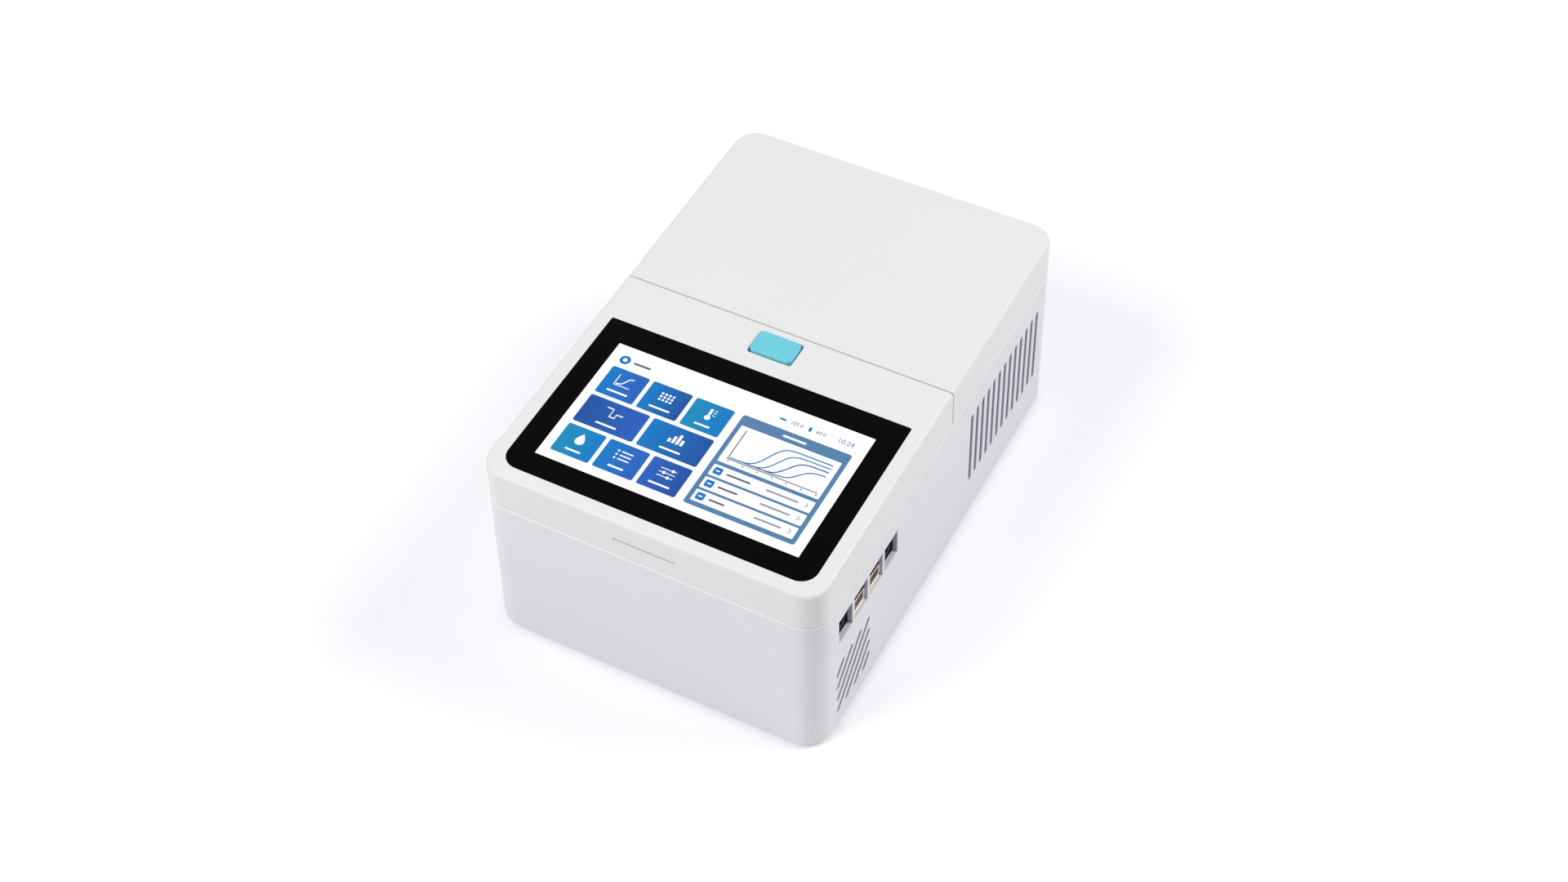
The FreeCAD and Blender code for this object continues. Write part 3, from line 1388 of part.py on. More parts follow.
# Sockets behind the windows: their fronts stand in the wall, and they sit on the main board.
board_top = bottom + s.portLevel
port_z = bottom + s.portLevel + s.portHeight / 2
wall_face = s.bodyWidth / 2 - lean * (s.portLevel + s.portHeight)
socket_face = wall_face - s.wall - s.fitGap


def port_y(k):
    return front + s.portFront + s.portPitch * k


def make_jack(label, k):
    face = socket_face
    shell = block(f"{label}_shell", (face - s.portLength, face), about(port_y(k), s.jackWidth),
                  (board_top, board_top + s.jackHeight))
    plug_low = board_top + s.jackHeight - s.plugHeight - 2.4
    mouth = block(f"{label}_mouth", (face - s.plugDepth, face + 1), about(port_y(k), s.plugWidth),
                  (plug_low, plug_low + s.plugHeight))
    key = block(f"{label}_key", (face - s.plugDepth, face + 1), about(port_y(k), s.plugWidth / 2),
                (plug_low - 3, plug_low + 1))
    return cut(label, shell, [mouth, key])


def make_usb(k):
    face = wall_face - s.usbReach + lean * s.usbHeight / 2
    low = board_top + 0.2
    y = port_y(k)
    shell = block(f"usb_shell_{k}", (face - s.portLength, face), about(y, s.usbWidth), (low, low + s.usbHeight))
    skin = s.usbSkin
    bore = block(f"usb_bore_{k}", (face - s.plugDepth, face + 1), about(y, s.usbWidth - skin * 2),
                 (low + skin, low + s.usbHeight - skin))
    tongue = block(f"usb_tongue_{k}", (face - s.plugDepth - 1, face - 1.2), about(y, s.usbWidth - 3.4),
                   (low + s.usbHeight - 3.6, low + s.usbHeight - 1.8))
    return fused(f"usb_{k}", [cut(f"usb_case_{k}", shell, [bore]), tongue])


def make_boards():
    right = side_inside - 1.5
    board_x = (right - s.mainBoardWidth, right)
    board_y = (port_y(0) - 10, port_y(0) - 10 + s.mainBoardDepth)
    under = board_top - s.boardThickness
    plain = block("main_board_plate", board_x, board_y, (under, board_top))
    chips = [block(f"main_board_chip_{k}", (board_x[0] + x, board_x[0] + x + wide), (board_y[0] + y, board_y[0] + y + deep),
                   (board_top - 0.2, board_top + tall))
             for k, (x, y, wide, deep, tall) in enumerate((
                 (22, 30, 16, 16, 1.6), (44, 26, 12, 20, 1.2), (22, 54, 24, 10, 8.0), (8, 12, 10, 40, 6.0),
                 (60, 74, 24, 10, 9.0)))]
    node(fused("main_board", [plain, *chips]))
    node(make_jack("network_port", 0))
    node(group("usb_ports", [make_usb(1), make_usb(2)]))
    node(make_jack("service_port", 3))
    # chassis: a folded shelf on two legs, with standoffs for the board
    shelf = under - 6
    sheet_metal = 1.5
    parts = [block("chassis_shelf", board_x, board_y, (shelf - sheet_metal, shelf))]
    for k, (y, turned) in enumerate(((board_y[0], 1), (board_y[1], -1))):
        leg = sorted((y, y + sheet_metal * turned), key=lambda size: size.value)
        foot = sorted((y, y + 10 * turned), key=lambda size: size.value)
        parts.append(block(f"chassis_leg_{k}", board_x, leg, (plate_top, shelf)))
        parts.append(block(f"chassis_foot_{k}", board_x, foot, (plate_top, plate_top + sheet_metal)))
    node(fused("board_chassis", parts))
    node(group("board_standoffs", [
        bar(f"board_standoff_{k}", "z", (x, y), 2.5, (shelf, under))
        for k, (x, y) in enumerate((a, b) for a in (board_x[0] + 5, board_x[1] - 24) for b in (board_y[0] + 5, board_y[1] - 5))]))


# A board on four short legs with its tall parts, all one piece.
def board_with_parts(label, x, y, level_z, tall_parts, round_parts):
    board_z = (level_z, level_z + s.boardThickness)
    pieces = [block(f"{label}_plate", x, y, board_z)]
    for k, (a, b, wide, deep, tall) in enumerate(tall_parts):
        pieces.append(block(f"{label}_part_{k}", (x[0] + a, x[0] + a + wide), (y[0] + b, y[0] + b + deep),
                            (board_z[1] - 0.2, board_z[1] + tall)))
    for k, (a, b, radius, tall) in enumerate(round_parts):
        pieces.append(bar(f"{label}_can_{k}", "z", (x[0] + a, y[0] + b), radius, (board_z[1] - 0.2, board_z[1] + tall)))
    for k, (a, b) in enumerate((a, b) for a in (x[0] + 4, x[1] - 4) for b in (y[0] + 4, y[1] - 4)):
        pieces.append(bar(f"{label}_leg_{k}", "z", (a, b), 2.5, (plate_top, board_z[0] + 0.2)))
    return fused(label, pieces)


def make_power():
    left = -side_inside + 4
    supply_x = (left, left + s.supplyWidth)
    supply_y = (front + 30, front + 30 + s.supplyDepth)
    node(board_with_parts("power_supply", supply_x, supply_y, s.supplyLevel + bottom - 3,
                          ((24, 36, 34, 30, 26.0), (8, 34, 3, 50, 30.0), (66, 34, 3, 50, 30.0), (20, 8, 30, 16, 18.0)),
                          ((22, 84, 9, 28.0), (44, 84, 9, 28.0), (64, 16, 6, 20.0))))
    node(board_with_parts("thermal_driver", about(as_size(0), s.driverWidth), about(cooling, s.driverDepth),
                          s.supplyLevel + bottom - 3,
                          ((10, 14, 20, 20, 10.0), (38, 14, 20, 20, 10.0), (66, 14, 20, 20, 10.0), (20, 46, 56, 8, 7.0)),
                          ((14, 58, 4, 12.0), (84, 58, 4, 12.0))))
    # mains inlet: a flange outside the wall, and a socket body inside it with three pins
    face = rear - lean * (s.inletLevel - s.inletHeight / 2) + s.screwGap
    x, z = -s.inletCentre, bottom + s.inletLevel
    flange = block("inlet_flange", about(x, s.inletFlangeWidth), (face, face + s.inletFlange),
                   about(z, s.inletFlangeHeight))
    case = block("inlet_case", about(x, s.inletWidth - s.fitGap * 2), (face - s.inletBody, face + 0.2),
                 about(z, s.inletHeight - s.fitGap * 2))
    well = block("inlet_well", about(x, s.inletWidth - s.inletShell * 2), (face - s.inletBody + 6, face + 5),
                 about(z, s.inletHeight - s.inletShell * 2))
    hollow_case = cut("inlet_hollow", fused("inlet_whole", [flange, case]), [well])
    pins = [block(f"inlet_pin_{k}", about(x + across, 2.0), (face - s.inletBody + 5, face - 3), about(z + up, 4.0))
            for k, (across, up) in enumerate(((-7, -1.5), (0, 2.0), (7, -1.5)))]
    node(fused("power_inlet", [hollow_case, *pins]))
    # switch housing: a bezel outside, and a case inside that the rocker turns in
    x = s.switchOffset - s.inletCentre
    bezel = block("switch_bezel", about(x, s.switchWidth + s.switchBezel * 2), (face, face + s.inletFlange),
                  about(z, s.switchHeight + s.switchBezel * 2))
    case = block("switch_case", about(x, s.switchWidth - s.fitGap * 2), (face - s.rockerWidth, face + 0.2),
                 about(z, s.switchHeight - s.fitGap * 2))
    mouth = block("switch_mouth", about(x, s.rockerWidth + s.fitGap * 2), (rocker_y - s.rockerWidth * 0.55, face + 5),
                  about(z, s.rockerHeight + s.fitGap * 2))
    pivot = bar("switch_pivot", "z", (x, rocker_y + s.rockerPivot), s.rockerPin / 2 + s.runningGap,
                about(z, s.switchHeight + 1))
    node(cut("switch_housing", fused("switch_whole", [bezel, case]), [mouth, pivot]))


rocker_y = rear - lean * s.inletLevel - 2.5
rocker_pin = s.rockerHeight / 2 + s.fitGap * 3 - s.screwGap


# The rocker: two faces that meet at a shallow angle, on a round back that turns about an upright axis.
def make_switch_rocker():
    body = new_body("switch_rocker")
    x, z = s.switchOffset - s.inletCentre, bottom + s.inletLevel
    half = s.rockerWidth / 2
    sketch = sketch_on(body, "XY_Plane", z - s.rockerHeight / 2)
    polygon(sketch, [(x - half + 0.6, rocker_y), (x, rocker_y - half + 1), (x + half - 0.6, rocker_y),
                     (x + half - 0.6, rocker_y + 3.0), (x, rocker_y + 4.4), (x - half + 0.6, rocker_y + 5.6)])
    pad(body, sketch, s.rockerHeight)
    sketch = sketch_on(body, "XY_Plane", z - rocker_pin)
    circle(sketch, x, rocker_y + s.rockerPivot, s.rockerPin / 2)
    pad(body, sketch, rocker_pin * 2)
    return body


for make in (make_lid_shell, make_lid_liner, make_lid_screws, make_lid_gasket, make_heated_plate, make_heater_pad,
             make_plate_springs, make_float_pins):
    node(make())
make_hinges()
for make in (make_latch_button, make_latch_hook, make_latch_bracket, make_latch_pin, make_button_springs,
             make_latch_strike):
    node(make())
make_optics()
make_boards()
make_power()
node(make_switch_rocker())

# Every object must have settled and every piece must be a sound solid before the pieces are written out.
doc.recompute()
for thing in doc.Objects:
    if "Invalid" in thing.State or "Error" in thing.State:
        raise RuntimeError(f"{thing.Name} did not build: {thing.State}")
os.makedirs("parts", exist_ok=True)
for thing in nodes:
    if thing.Shape.isNull() or not thing.Shape.isValid() or not thing.Shape.Solids:
        raise RuntimeError(f"{thing.Label} is not a sound solid")
    thing.Shape.exportStep(f"parts/{thing.Label}.step")
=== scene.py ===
# Looks of a bench-top real-time PCR machine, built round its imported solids. Lengths are in metres.
import math

import bmesh
import bpy
import numpy as np
from mathutils import Matrix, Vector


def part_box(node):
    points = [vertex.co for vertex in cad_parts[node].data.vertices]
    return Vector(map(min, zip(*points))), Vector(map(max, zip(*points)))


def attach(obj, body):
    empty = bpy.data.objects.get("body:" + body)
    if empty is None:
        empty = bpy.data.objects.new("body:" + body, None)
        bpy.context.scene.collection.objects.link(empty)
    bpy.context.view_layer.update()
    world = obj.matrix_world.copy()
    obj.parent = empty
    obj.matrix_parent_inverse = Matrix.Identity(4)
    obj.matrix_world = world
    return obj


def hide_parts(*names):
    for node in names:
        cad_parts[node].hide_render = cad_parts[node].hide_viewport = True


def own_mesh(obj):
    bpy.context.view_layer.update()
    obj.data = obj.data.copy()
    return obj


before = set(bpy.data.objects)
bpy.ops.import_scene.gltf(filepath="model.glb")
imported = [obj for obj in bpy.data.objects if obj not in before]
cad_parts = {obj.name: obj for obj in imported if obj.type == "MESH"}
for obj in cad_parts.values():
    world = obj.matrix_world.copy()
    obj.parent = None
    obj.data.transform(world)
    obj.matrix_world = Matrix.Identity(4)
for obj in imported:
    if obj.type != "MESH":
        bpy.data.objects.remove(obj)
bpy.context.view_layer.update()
mm = 0.001
white = (1.0, 1.0, 1.0, 1.0)
roundSteps = 36
sharpAngle = math.radians(35)
smoothAngle = math.radians(24)
print("frame loaded")


# A colour as a screen shows it, 0 to 255, made linear: a straight line below 0.04045, above it a power of 2.4
def srgb(red, green, blue):
    values = np.array([red, green, blue]) / 255
    linear = np.where(values <= 0.04045, values / 12.92, ((values + 0.055) / 1.055) ** 2.4)
    return (*linear.tolist(), 1.0)


# Shapes. Each gives a closed part as (points, faces, tint), and several parts make one piece.
def fullTurn(steps):
    return np.linspace(0, 2 * math.pi, steps, endpoint=False)


# Points round a centre: the centre plus the radius times (cos, sin) of each turn
def onCircle(x, y, radius, turn):
    return np.column_stack([x + radius * np.cos(turn), y + radius * np.sin(turn)])


# Outline of a box with round corners, a quarter turn at each
def roundedOutline(x, y, radius, steps=6):
    turn = np.linspace(0, math.pi / 2, steps)
    centres = ((x[1] - radius, y[1] - radius), (x[0] + radius, y[1] - radius),
               (x[0] + radius, y[0] + radius), (x[1] - radius, y[0] + radius))
    return np.vstack([onCircle(*centre, radius, turn + k * math.pi / 2) for k, centre in enumerate(centres)])


def circleOutline(x, y, radius, steps=28):
    return onCircle(x, y, radius, fullTurn(steps))


# Points with one more coordinate, the same for all
def lifted(points, value):
    return np.column_stack([points, np.full(len(points), value)])


# Skin over rings of equally many points: quads from ring to ring, then either a face over each end ring or, where
# closed like a tyre, quads from the last ring to the first
def loft(rings, tint=white, closed=False):
    rings = np.asarray(rings, float)
    count, around = rings.shape[:2]
    i, j = np.meshgrid(np.arange(count if closed else count - 1), np.arange(around), indexing="ij")
    after, further = (j + 1) % around, (i + 1) % count
    quads = np.stack([i * around + j, i * around + after, further * around + after, further * around + j], -1)
    faces = quads.reshape(-1, 4).tolist()
    if not closed:
        faces += [list(range(around))[::-1], list(range((count - 1) * around, count * around))]
    return rings.reshape(-1, 3), faces, tint


# A flat body: the outline at two heights
def slab(outline, low, high, tint=white):
    return loft([lifted(outline, z) for z in (low, high)], tint)


# A block with round corners and rims: at both ends its outline shrinks by edge times 1 - cos over a height of edge
# times sin
def softBlock(x, y, z, radius, edge):
    turn = np.linspace(0, math.pi / 2, 4)
    inset, rise = edge * (1 - np.cos(turn)), edge * np.sin(turn)
    rings = []
    for shrink, height in [*zip(inset[::-1], z[0] + edge - rise[::-1]), *zip(inset, z[1] - edge + rise)]:
        outline = roundedOutline((x[0] + shrink, x[1] - shrink), (y[0] + shrink, y[1] - shrink),
                                 max(radius - shrink, 0.05 * mm), 4)
        rings.append(lifted(outline, height))
    return loft(rings)


# A round body about Z from (radius, height) pairs, each a ring of radius times (cos, sin). A radius may be an array
# over the turn.
def turned(profile, steps=roundSteps, tint=white):
    turn = fullTurn(steps)
    radius = np.array([np.broadcast_to(ring[0], steps) for ring in profile])
    height = np.array([np.full(steps, ring[1]) for ring in profile])
    return loft(np.stack([radius * np.cos(turn), radius * np.sin(turn), height], -1), tint)


def unit(vectors):
    return vectors / np.linalg.norm(vectors, axis=1)[:, None]


# A flat strip along a path: each point is pushed half the width to both sides along its normal
def ribbon(path, width, low, high, tint=white):
    path = np.asarray(path, float)
    along = unit(np.gradient(path, axis=0))
    side = np.column_stack([-along[:, 1], along[:, 0]]) * width / 2
    left, right = path + side, path - side
    return loft(np.stack([lifted(left, low), lifted(right, low), lifted(right, high), lifted(left, high)], 1), tint)


# A round wire along a path in space: at each point a ring in the plane of two normals to the path
def tube(path, radius, steps=8):
    path = np.asarray(path, float)
    along = unit(np.gradient(path, axis=0))
    up = np.where(np.abs(along[:, 2:3]) > 0.9, [[1.0, 0.0, 0.0]], [[0.0, 0.0, 1.0]])
    first = unit(np.cross(along, up))
    second = np.cross(along, first)
    turn = fullTurn(steps)[None, :, None]
    return loft(path[:, None] + radius * (first[:, None] * np.cos(turn) + second[:, None] * np.sin(turn)))


# A part laid into space: place plus its three coordinates along u, v and w
def moved(part, place, u=(1, 0, 0), v=(0, 1, 0), w=(0, 0, 1)):
    return np.asarray(place) + part[0] @ np.array([u, v, w], float), part[1], part[2]


# A part tinted from one colour to another along x: the first plus the share of x times the difference
def faded(part, first, second):
    x = part[0][:, :1]
    share = (x - x.min()) / np.ptp(x)
    return part[0], part[1], np.asarray(first) + share * (np.asarray(second) - np.asarray(first))


def addObject(name, data):
    thing = bpy.data.objects.new(name, data)
    bpy.context.scene.collection.objects.link(thing)
    return thing


# A closed part from a filled flat curve, whose data is removed
def curvePart(curve, tint=white):
    source = addObject("flatCurve", curve)
    mesh = bpy.data.meshes.new_from_object(source.evaluated_get(bpy.context.evaluated_depsgraph_get()))
    sheet = bmesh.new()
    sheet.from_mesh(mesh)
    bmesh.ops.remove_doubles(sheet, verts=sheet.verts, dist=1e-7)
    points = np.array([vertex.co[:] for vertex in sheet.verts])
    faces = [[vertex.index for vertex in face.verts] for face in sheet.faces]
    sheet.free()
    bpy.data.objects.remove(source)
    bpy.data.curves.remove(curve)
    bpy.data.meshes.remove(mesh)
    return points, faces, tint


# Plain figures as a flat body, centred on their place
def figures(text, size, place, low, high, tint=white):
    curve = bpy.data.curves.new("figures", "FONT")
    curve.body, curve.size, curve.align_x, curve.align_y = text, size, "CENTER", "CENTER"
    curve.extrude, curve.resolution_u = (high - low) / 2, 3
    return moved(curvePart(curve, tint), [*place, (low + high) / 2])


# A plate about the plane of its outlines, which bulge by the edge's quarter round; an inner outline is a hole
def plate(outlines, thickness, edge):
    curve = bpy.data.curves.new("plate", "CURVE")
    curve.dimensions, curve.fill_mode = "2D", "BOTH"
    curve.extrude, curve.bevel_depth, curve.bevel_resolution = thickness / 2 - edge, edge, 2
    for outline in outlines:
        spline = curve.splines.new("POLY")
        spline.points.add(len(outline) - 1)
        spline.points.foreach_set("co", lifted(lifted(outline, 0.0), 1.0).ravel())  # x, y, z and weight
        spline.use_cyclic_u = True
    return curvePart(curve)


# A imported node's lowest and highest corner and its middle
def spanOf(name):
    low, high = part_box(name)
    return low, high, (low + high) / 2


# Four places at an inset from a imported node's sides, seen from above
def corners(name, inset):
    low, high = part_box(name)
    return [(x, y) for x in (low.x + inset, high.x - inset) for y in (low.y + inset, high.y - inset)]


# Joins parts into one mesh with its place in it, turns faces outwards and lets it ride on a body
def addPiece(name, parts, finish, body, smooth=True, replaced=()):
    starts = np.cumsum([0, *[len(part[0]) for part in parts]])
    faces = [[index + int(start) for index in face] for part, start in zip(parts, starts) for face in part[1]]
    mesh = bpy.data.meshes.new(name)
    mesh.from_pydata(np.vstack([part[0] for part in parts]).tolist(), [], faces)
    sheet = bmesh.new()
    sheet.from_mesh(mesh)
    bmesh.ops.recalc_face_normals(sheet, faces=sheet.faces)
    sheet.to_mesh(mesh)
    sheet.free()
    tint = mesh.color_attributes.new("tint", "FLOAT_COLOR", "POINT")
    tint.data.foreach_set("color", np.vstack([np.broadcast_to(part[2], (len(part[0]), 4)) for part in parts]).ravel())
    mesh.polygons.foreach_set("use_smooth", [smooth] * len(mesh.polygons))
    if smooth:
        mesh.set_sharp_from_angle(angle=sharpAngle)
    mesh.materials.append(finishes[finish])
    piece = addObject(name, mesh)
    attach(piece, body)
    if replaced:
        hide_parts(*replaced)
    return piece


# Finishes. Scales are in waves per metre.
def addNode(tree, kind, **values):
    node = tree.nodes.new(kind)
    for name, value in values.items():
        if name in node.inputs:
            node.inputs[name].default_value = value
        else:
            setattr(node, name, value)
    return node


# Noise over the piece's own coordinates, drawn out along an axis where asked
def addNoise(tree, scale, detail, stretch=None):
    texture = addNode(tree, "ShaderNodeTexNoise", Scale=scale, Detail=detail)
    source = addNode(tree, "ShaderNodeTexCoord").outputs["Object"]
    if stretch:
        mapping = addNode(tree, "ShaderNodeMapping", Scale=stretch)
        tree.links.new(source, mapping.inputs["Vector"])
        source = mapping.outputs["Vector"]
    tree.links.new(source, texture.inputs["Vector"])
    return texture.outputs["Fac"]


# Maps a value from one span to another, clamped at both ends
def spread(tree, source, low, high, fromLow=0.3, fromHigh=0.7):
    reach = addNode(tree, "ShaderNodeMapRange",
                    **{"From Min": fromLow, "From Max": fromHigh, "To Min": low, "To Max": high})
    tree.links.new(source, reach.inputs["Value"])
    return reach.outputs["Result"]


# A colour between two, either of them a colour or another node's socket
def mixed(tree, factor, first, second):
    mix = addNode(tree, "ShaderNodeMix", data_type="RGBA")
    tree.links.new(factor, mix.inputs["Factor"])
    for socket, value in ((mix.inputs["A"], first), (mix.inputs["B"], second)):
        if isinstance(value, tuple):
            socket.default_value = value
        else:
            tree.links.new(value, socket)
    return mix.outputs["Result"]


# A sum on numbers or other nodes' sockets
def maths(tree, operation, *values):
    node = addNode(tree, "ShaderNodeMath", operation=operation)
    for socket, value in zip(node.inputs, values):
        if isinstance(value, float):
            socket.default_value = value
        else:
            tree.links.new(value, socket)
    return node.outputs["Value"]


# The piece's own coordinates, as three sockets
def ownPlace(tree):
    place = tree.nodes.new("ShaderNodeSeparateXYZ")
    tree.links.new(addNode(tree, "ShaderNodeTexCoord").outputs["Object"], place.inputs[0])
    return [place.outputs[axis] for axis in "XYZ"]


# Mask for painted shade: 1 on the walls of cuts through the housing's sides, behind its drafted faces and between its
# corners, but 0 on the windows' sills. A darker colour there stands in for the shade inside the cuts.
def cutShadeMask(tree, cut):
    across, along, up = ownPlace(tree)
    skin, blur = cut["half"] - cut["depth"], cut["blur"]
    face = maths(tree, "MULTIPLY_ADD", up, cut["slope"], maths(tree, "ABSOLUTE", across))
    deep = spread(tree, face, 1.0, 0.0, skin, skin + blur)
    between = spread(tree, maths(tree, "ABSOLUTE", along), 1.0, 0.0, cut["reach"], cut["reach"] + blur)
    onSill = maths(tree, "COMPARE", up, cut["sill"], blur / 2)
    return maths(tree, "MULTIPLY", maths(tree, "MULTIPLY", deep, between), maths(tree, "SUBTRACT", 1.0, onSill))


# One finish: a colour that drifts, painted shade on the walls of cuts, a roughness that varies, a grain, soft edges,
# and other colours above set levels, one of them a painted highlight
def makeFinish(name, look):
    material = bpy.data.materials.new(name)
    material.use_nodes = True
    tree = material.node_tree
    link, shader = tree.links.new, tree.nodes["Principled BSDF"]
    for socket, key, plain in (("Metallic", "metallic", 0.0), ("Specular IOR Level", "specular", 0.5),
                               ("Coat Weight", "coat", 0.0), ("Coat Roughness", "coatBlur", 0.1),
                               ("Emission Strength", "glow", 0.0)):
        shader.inputs[socket].default_value = look.get(key, plain)
    if look.get("tinted"):
        colour = addNode(tree, "ShaderNodeVertexColor", layer_name="tint").outputs["Color"]
        link(colour, shader.inputs["Emission Color"])
    else:
        drift = spread(tree, addNoise(tree, look.get("patch", 12.0), 3.0), 0.0, 1.0)
        colour = mixed(tree, drift, *[(*[min(1.0, c * (1 + sign * look.get("vary", 0.02))) for c in look["colour"][:3]],
                                       1.0) for sign in (-1, 1)])
    # painted shade: the walls of cuts take a darker colour
    if look.get("cut"):
        colour = mixed(tree, cutShadeMask(tree, look["cut"]), colour, look["cut"]["colour"])
    # Colours above set levels: real colour bands on the boards and coolers, and a painted highlight on the base's rim
    for level, other in look.get("above", ()):
        colour = mixed(tree, spread(tree, ownPlace(tree)[2], 0.0, 1.0, level, level + 0.02 * mm), colour, other)
    link(colour, shader.inputs["Base Color"])
    rough, roughSpread = look["roughness"], look.get("roughSpread", 0.04)
    smear = spread(tree, addNoise(tree, 60.0, 2.0), rough - roughSpread, rough + roughSpread)
    link(smear, shader.inputs["Roughness"])
    bump = addNode(tree, "ShaderNodeBump", Strength=look.get("bump", 0.1), Distance=look.get("grainHeight", 2e-5))
    link(addNoise(tree, look.get("grain", 1600.0), 2.0, look.get("grainStretch")), bump.inputs["Height"])
    if look.get("softEdge"):
        bevel = addNode(tree, "ShaderNodeBevel", Radius=look["softEdge"])
        bevel.samples = 4
        link(bevel.outputs["Normal"], bump.inputs["Normal"])
    link(bump.outputs["Normal"], shader.inputs["Normal"])
    return material


# A finish's values, from a colour as a screen shows it
def paint(red, green, blue, roughness, **more):
    return {"colour": srgb(red, green, blue), "roughness": roughness, **more}


# A metal's values, from its linear colour
def metal(red, green, blue, roughness, **more):
    return {"colour": (red, green, blue, 1.0), "metallic": 1.0, "roughness": roughness, **more}


brushed = {"grainStretch": (0.04, 1.0, 1.0), "softEdge": 2e-4}
boardFace = {"vary": 0.12, "patch": 400.0, "bump": 0.2, "grain": 500.0}
looks = {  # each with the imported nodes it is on
    "coverPlastic": paint(237, 236, 235, 0.46, softEdge=7e-4, vary=0.006, on="front_cover lid_shell"),
    "basePlastic": paint(235, 234, 236, 0.48, softEdge=7e-4, vary=0.006, on="base_housing",
                         above=((0.1017, srgb(250, 250, 251)),),  # painted highlight: a paler band under the seam stands in for light caught on the rim
                         # painted shade: a darker violet-grey on the walls of the slots and windows stands in for the
                         # shade inside them
                         cut={"half": 101.5 * mm, "slope": math.tan(math.radians(0.92)), "depth": 0.45 * mm,
                              "reach": 134.5 * mm, "sill": 71.2 * mm, "blur": 0.1 * mm,
                              "colour": srgb(190, 187, 206)}),
    "deckPlastic": paint(150, 152, 156, 0.5, bump=0.25, softEdge=3e-4, on="inner_deck"),
    "linerPlastic": paint(128, 130, 134, 0.55, bump=0.25, softEdge=3e-4, on="lid_liner"),
    "platePaint": paint(120, 121, 125, 0.5, bump=0.5, grain=900.0, softEdge=3e-4, on="bottom_plate"),
    "blackGlass": {"colour": (0.0012, 0.0012, 0.001, 1.0), "roughness": 0.06, "roughSpread": 0.01, "bump": 0.0,
                   "specular": 0.03, "vary": 0.1, "on": "cover_glass"},
    "screenLight": {"tinted": True, "roughness": 0.12, "roughSpread": 0.01, "bump": 0.0, "specular": 0.05,
                    "glow": 0.06},
    "displayBack": paint(70, 74, 82, 0.35, on="display_panel"),
    "tealPlastic": paint(107, 209, 224, 0.4, softEdge=8e-4, vary=0.008, on="latch_button"),
    "lightPipe": paint(170, 170, 178, 0.25, bump=0.02, on="status_light"),
    "footRubber": paint(40, 40, 42, 0.8, bump=0.5, grain=700.0, on="feet"),
    "sealRubber": paint(58, 58, 60, 0.7, bump=0.3, grain=900.0, softEdge=3e-4, on="lid_gasket"),
    "screwSteel": metal(0.55, 0.55, 0.56, 0.28, on="bottom_screws cover_screws deck_screws lid_screws hinge_pins "
                                                   "latch_pin float_pins guide_rods lead_screw"),
    "springSteel": metal(0.5, 0.5, 0.5, 0.3, on="button_springs plate_springs"),
    "leafSteel": metal(0.62, 0.62, 0.63, 0.32, bump=0.25, grain=900.0, **brushed,
                       on="hinge_base_leaves hinge_lid_leaves latch_strike"),
    "blockAluminium": metal(0.78, 0.78, 0.79, 0.33, bump=0.2, grain=1200.0, **brushed,
                            on="sample_block heated_plate"),
    "finAluminium": metal(0.72, 0.72, 0.73, 0.38, bump=0.3, grain=900.0, **brushed, on="heat_sink"),
    "foldedSteel": metal(0.58, 0.58, 0.57, 0.4, vary=0.08, patch=120.0, softEdge=2e-4,
                         on="display_tray board_chassis latch_bracket"),
    "ceramic": paint(238, 236, 228, 0.5, on="peltier_coolers",
                     above=((0.0812, srgb(92, 84, 80)), (0.0832, srgb(238, 236, 228)))),
    "blackFoam": paint(46, 46, 48, 0.9, bump=0.9, grain=600.0, grainHeight=1e-4, on="block_collar"),
    "fanPlastic": paint(40, 40, 43, 0.5, bump=0.2, softEdge=2e-4,
                        on="fan_frame_front fan_frame_rear fan_rotor_front fan_rotor_rear optics_carriage"),
    "socketPlastic": paint(22, 22, 24, 0.45, softEdge=2e-4,
                           on="network_port service_port power_inlet switch_housing switch_rocker"),
    "ductPlastic": paint(225, 224, 220, 0.5, softEdge=2e-4, on="air_duct latch_hook rail_blocks"),
    "socketShell": metal(0.76, 0.71, 0.65, 0.3, bump=0.05, softEdge=2e-4, on="usb_ports"),
    "tonguePlastic": paint(206, 196, 180, 0.45),
    "goldContact": metal(0.9, 0.66, 0.25, 0.22),
    "brassPin": metal(0.8, 0.72, 0.5, 0.25),
    "heaterFilm": paint(178, 96, 34, 0.35, on="heater_pad"),
    "heaterTrace": metal(0.55, 0.42, 0.3, 0.4),
    "lensGlass": paint(196, 210, 222, 0.05, roughSpread=0.01, specular=0.8, coat=0.5, bump=0.0, on="optics_lenses"),
    "motorBlack": metal(0.1, 0.1, 0.1, 0.4, on="stepper_motor"),
    "postAluminium": metal(0.7, 0.7, 0.71, 0.35, on="sink_posts board_standoffs"),
    "mainBoardFace": paint(28, 104, 62, 0.3, **boardFace, on="main_board",
                           above=((0.07128, srgb(34, 34, 36)), (0.0766, srgb(214, 212, 204)))),
    "supplyBoardFace": paint(30, 96, 58, 0.35, **boardFace, on="power_supply",
                             above=((0.01368, srgb(38, 38, 44)), (0.0328, srgb(206, 170, 60)))),
    "driverBoardFace": paint(30, 96, 58, 0.35, **boardFace, on="thermal_driver",
                             above=((0.01368, srgb(34, 34, 36)),)),
    "markInk": paint(238, 238, 238, 0.5),
    "smallParts": {"tinted": True, "roughness": 0.35, "roughSpread": 0.08},
}
finishes = {name: makeFinish(name, look) for name, look in looks.items()}


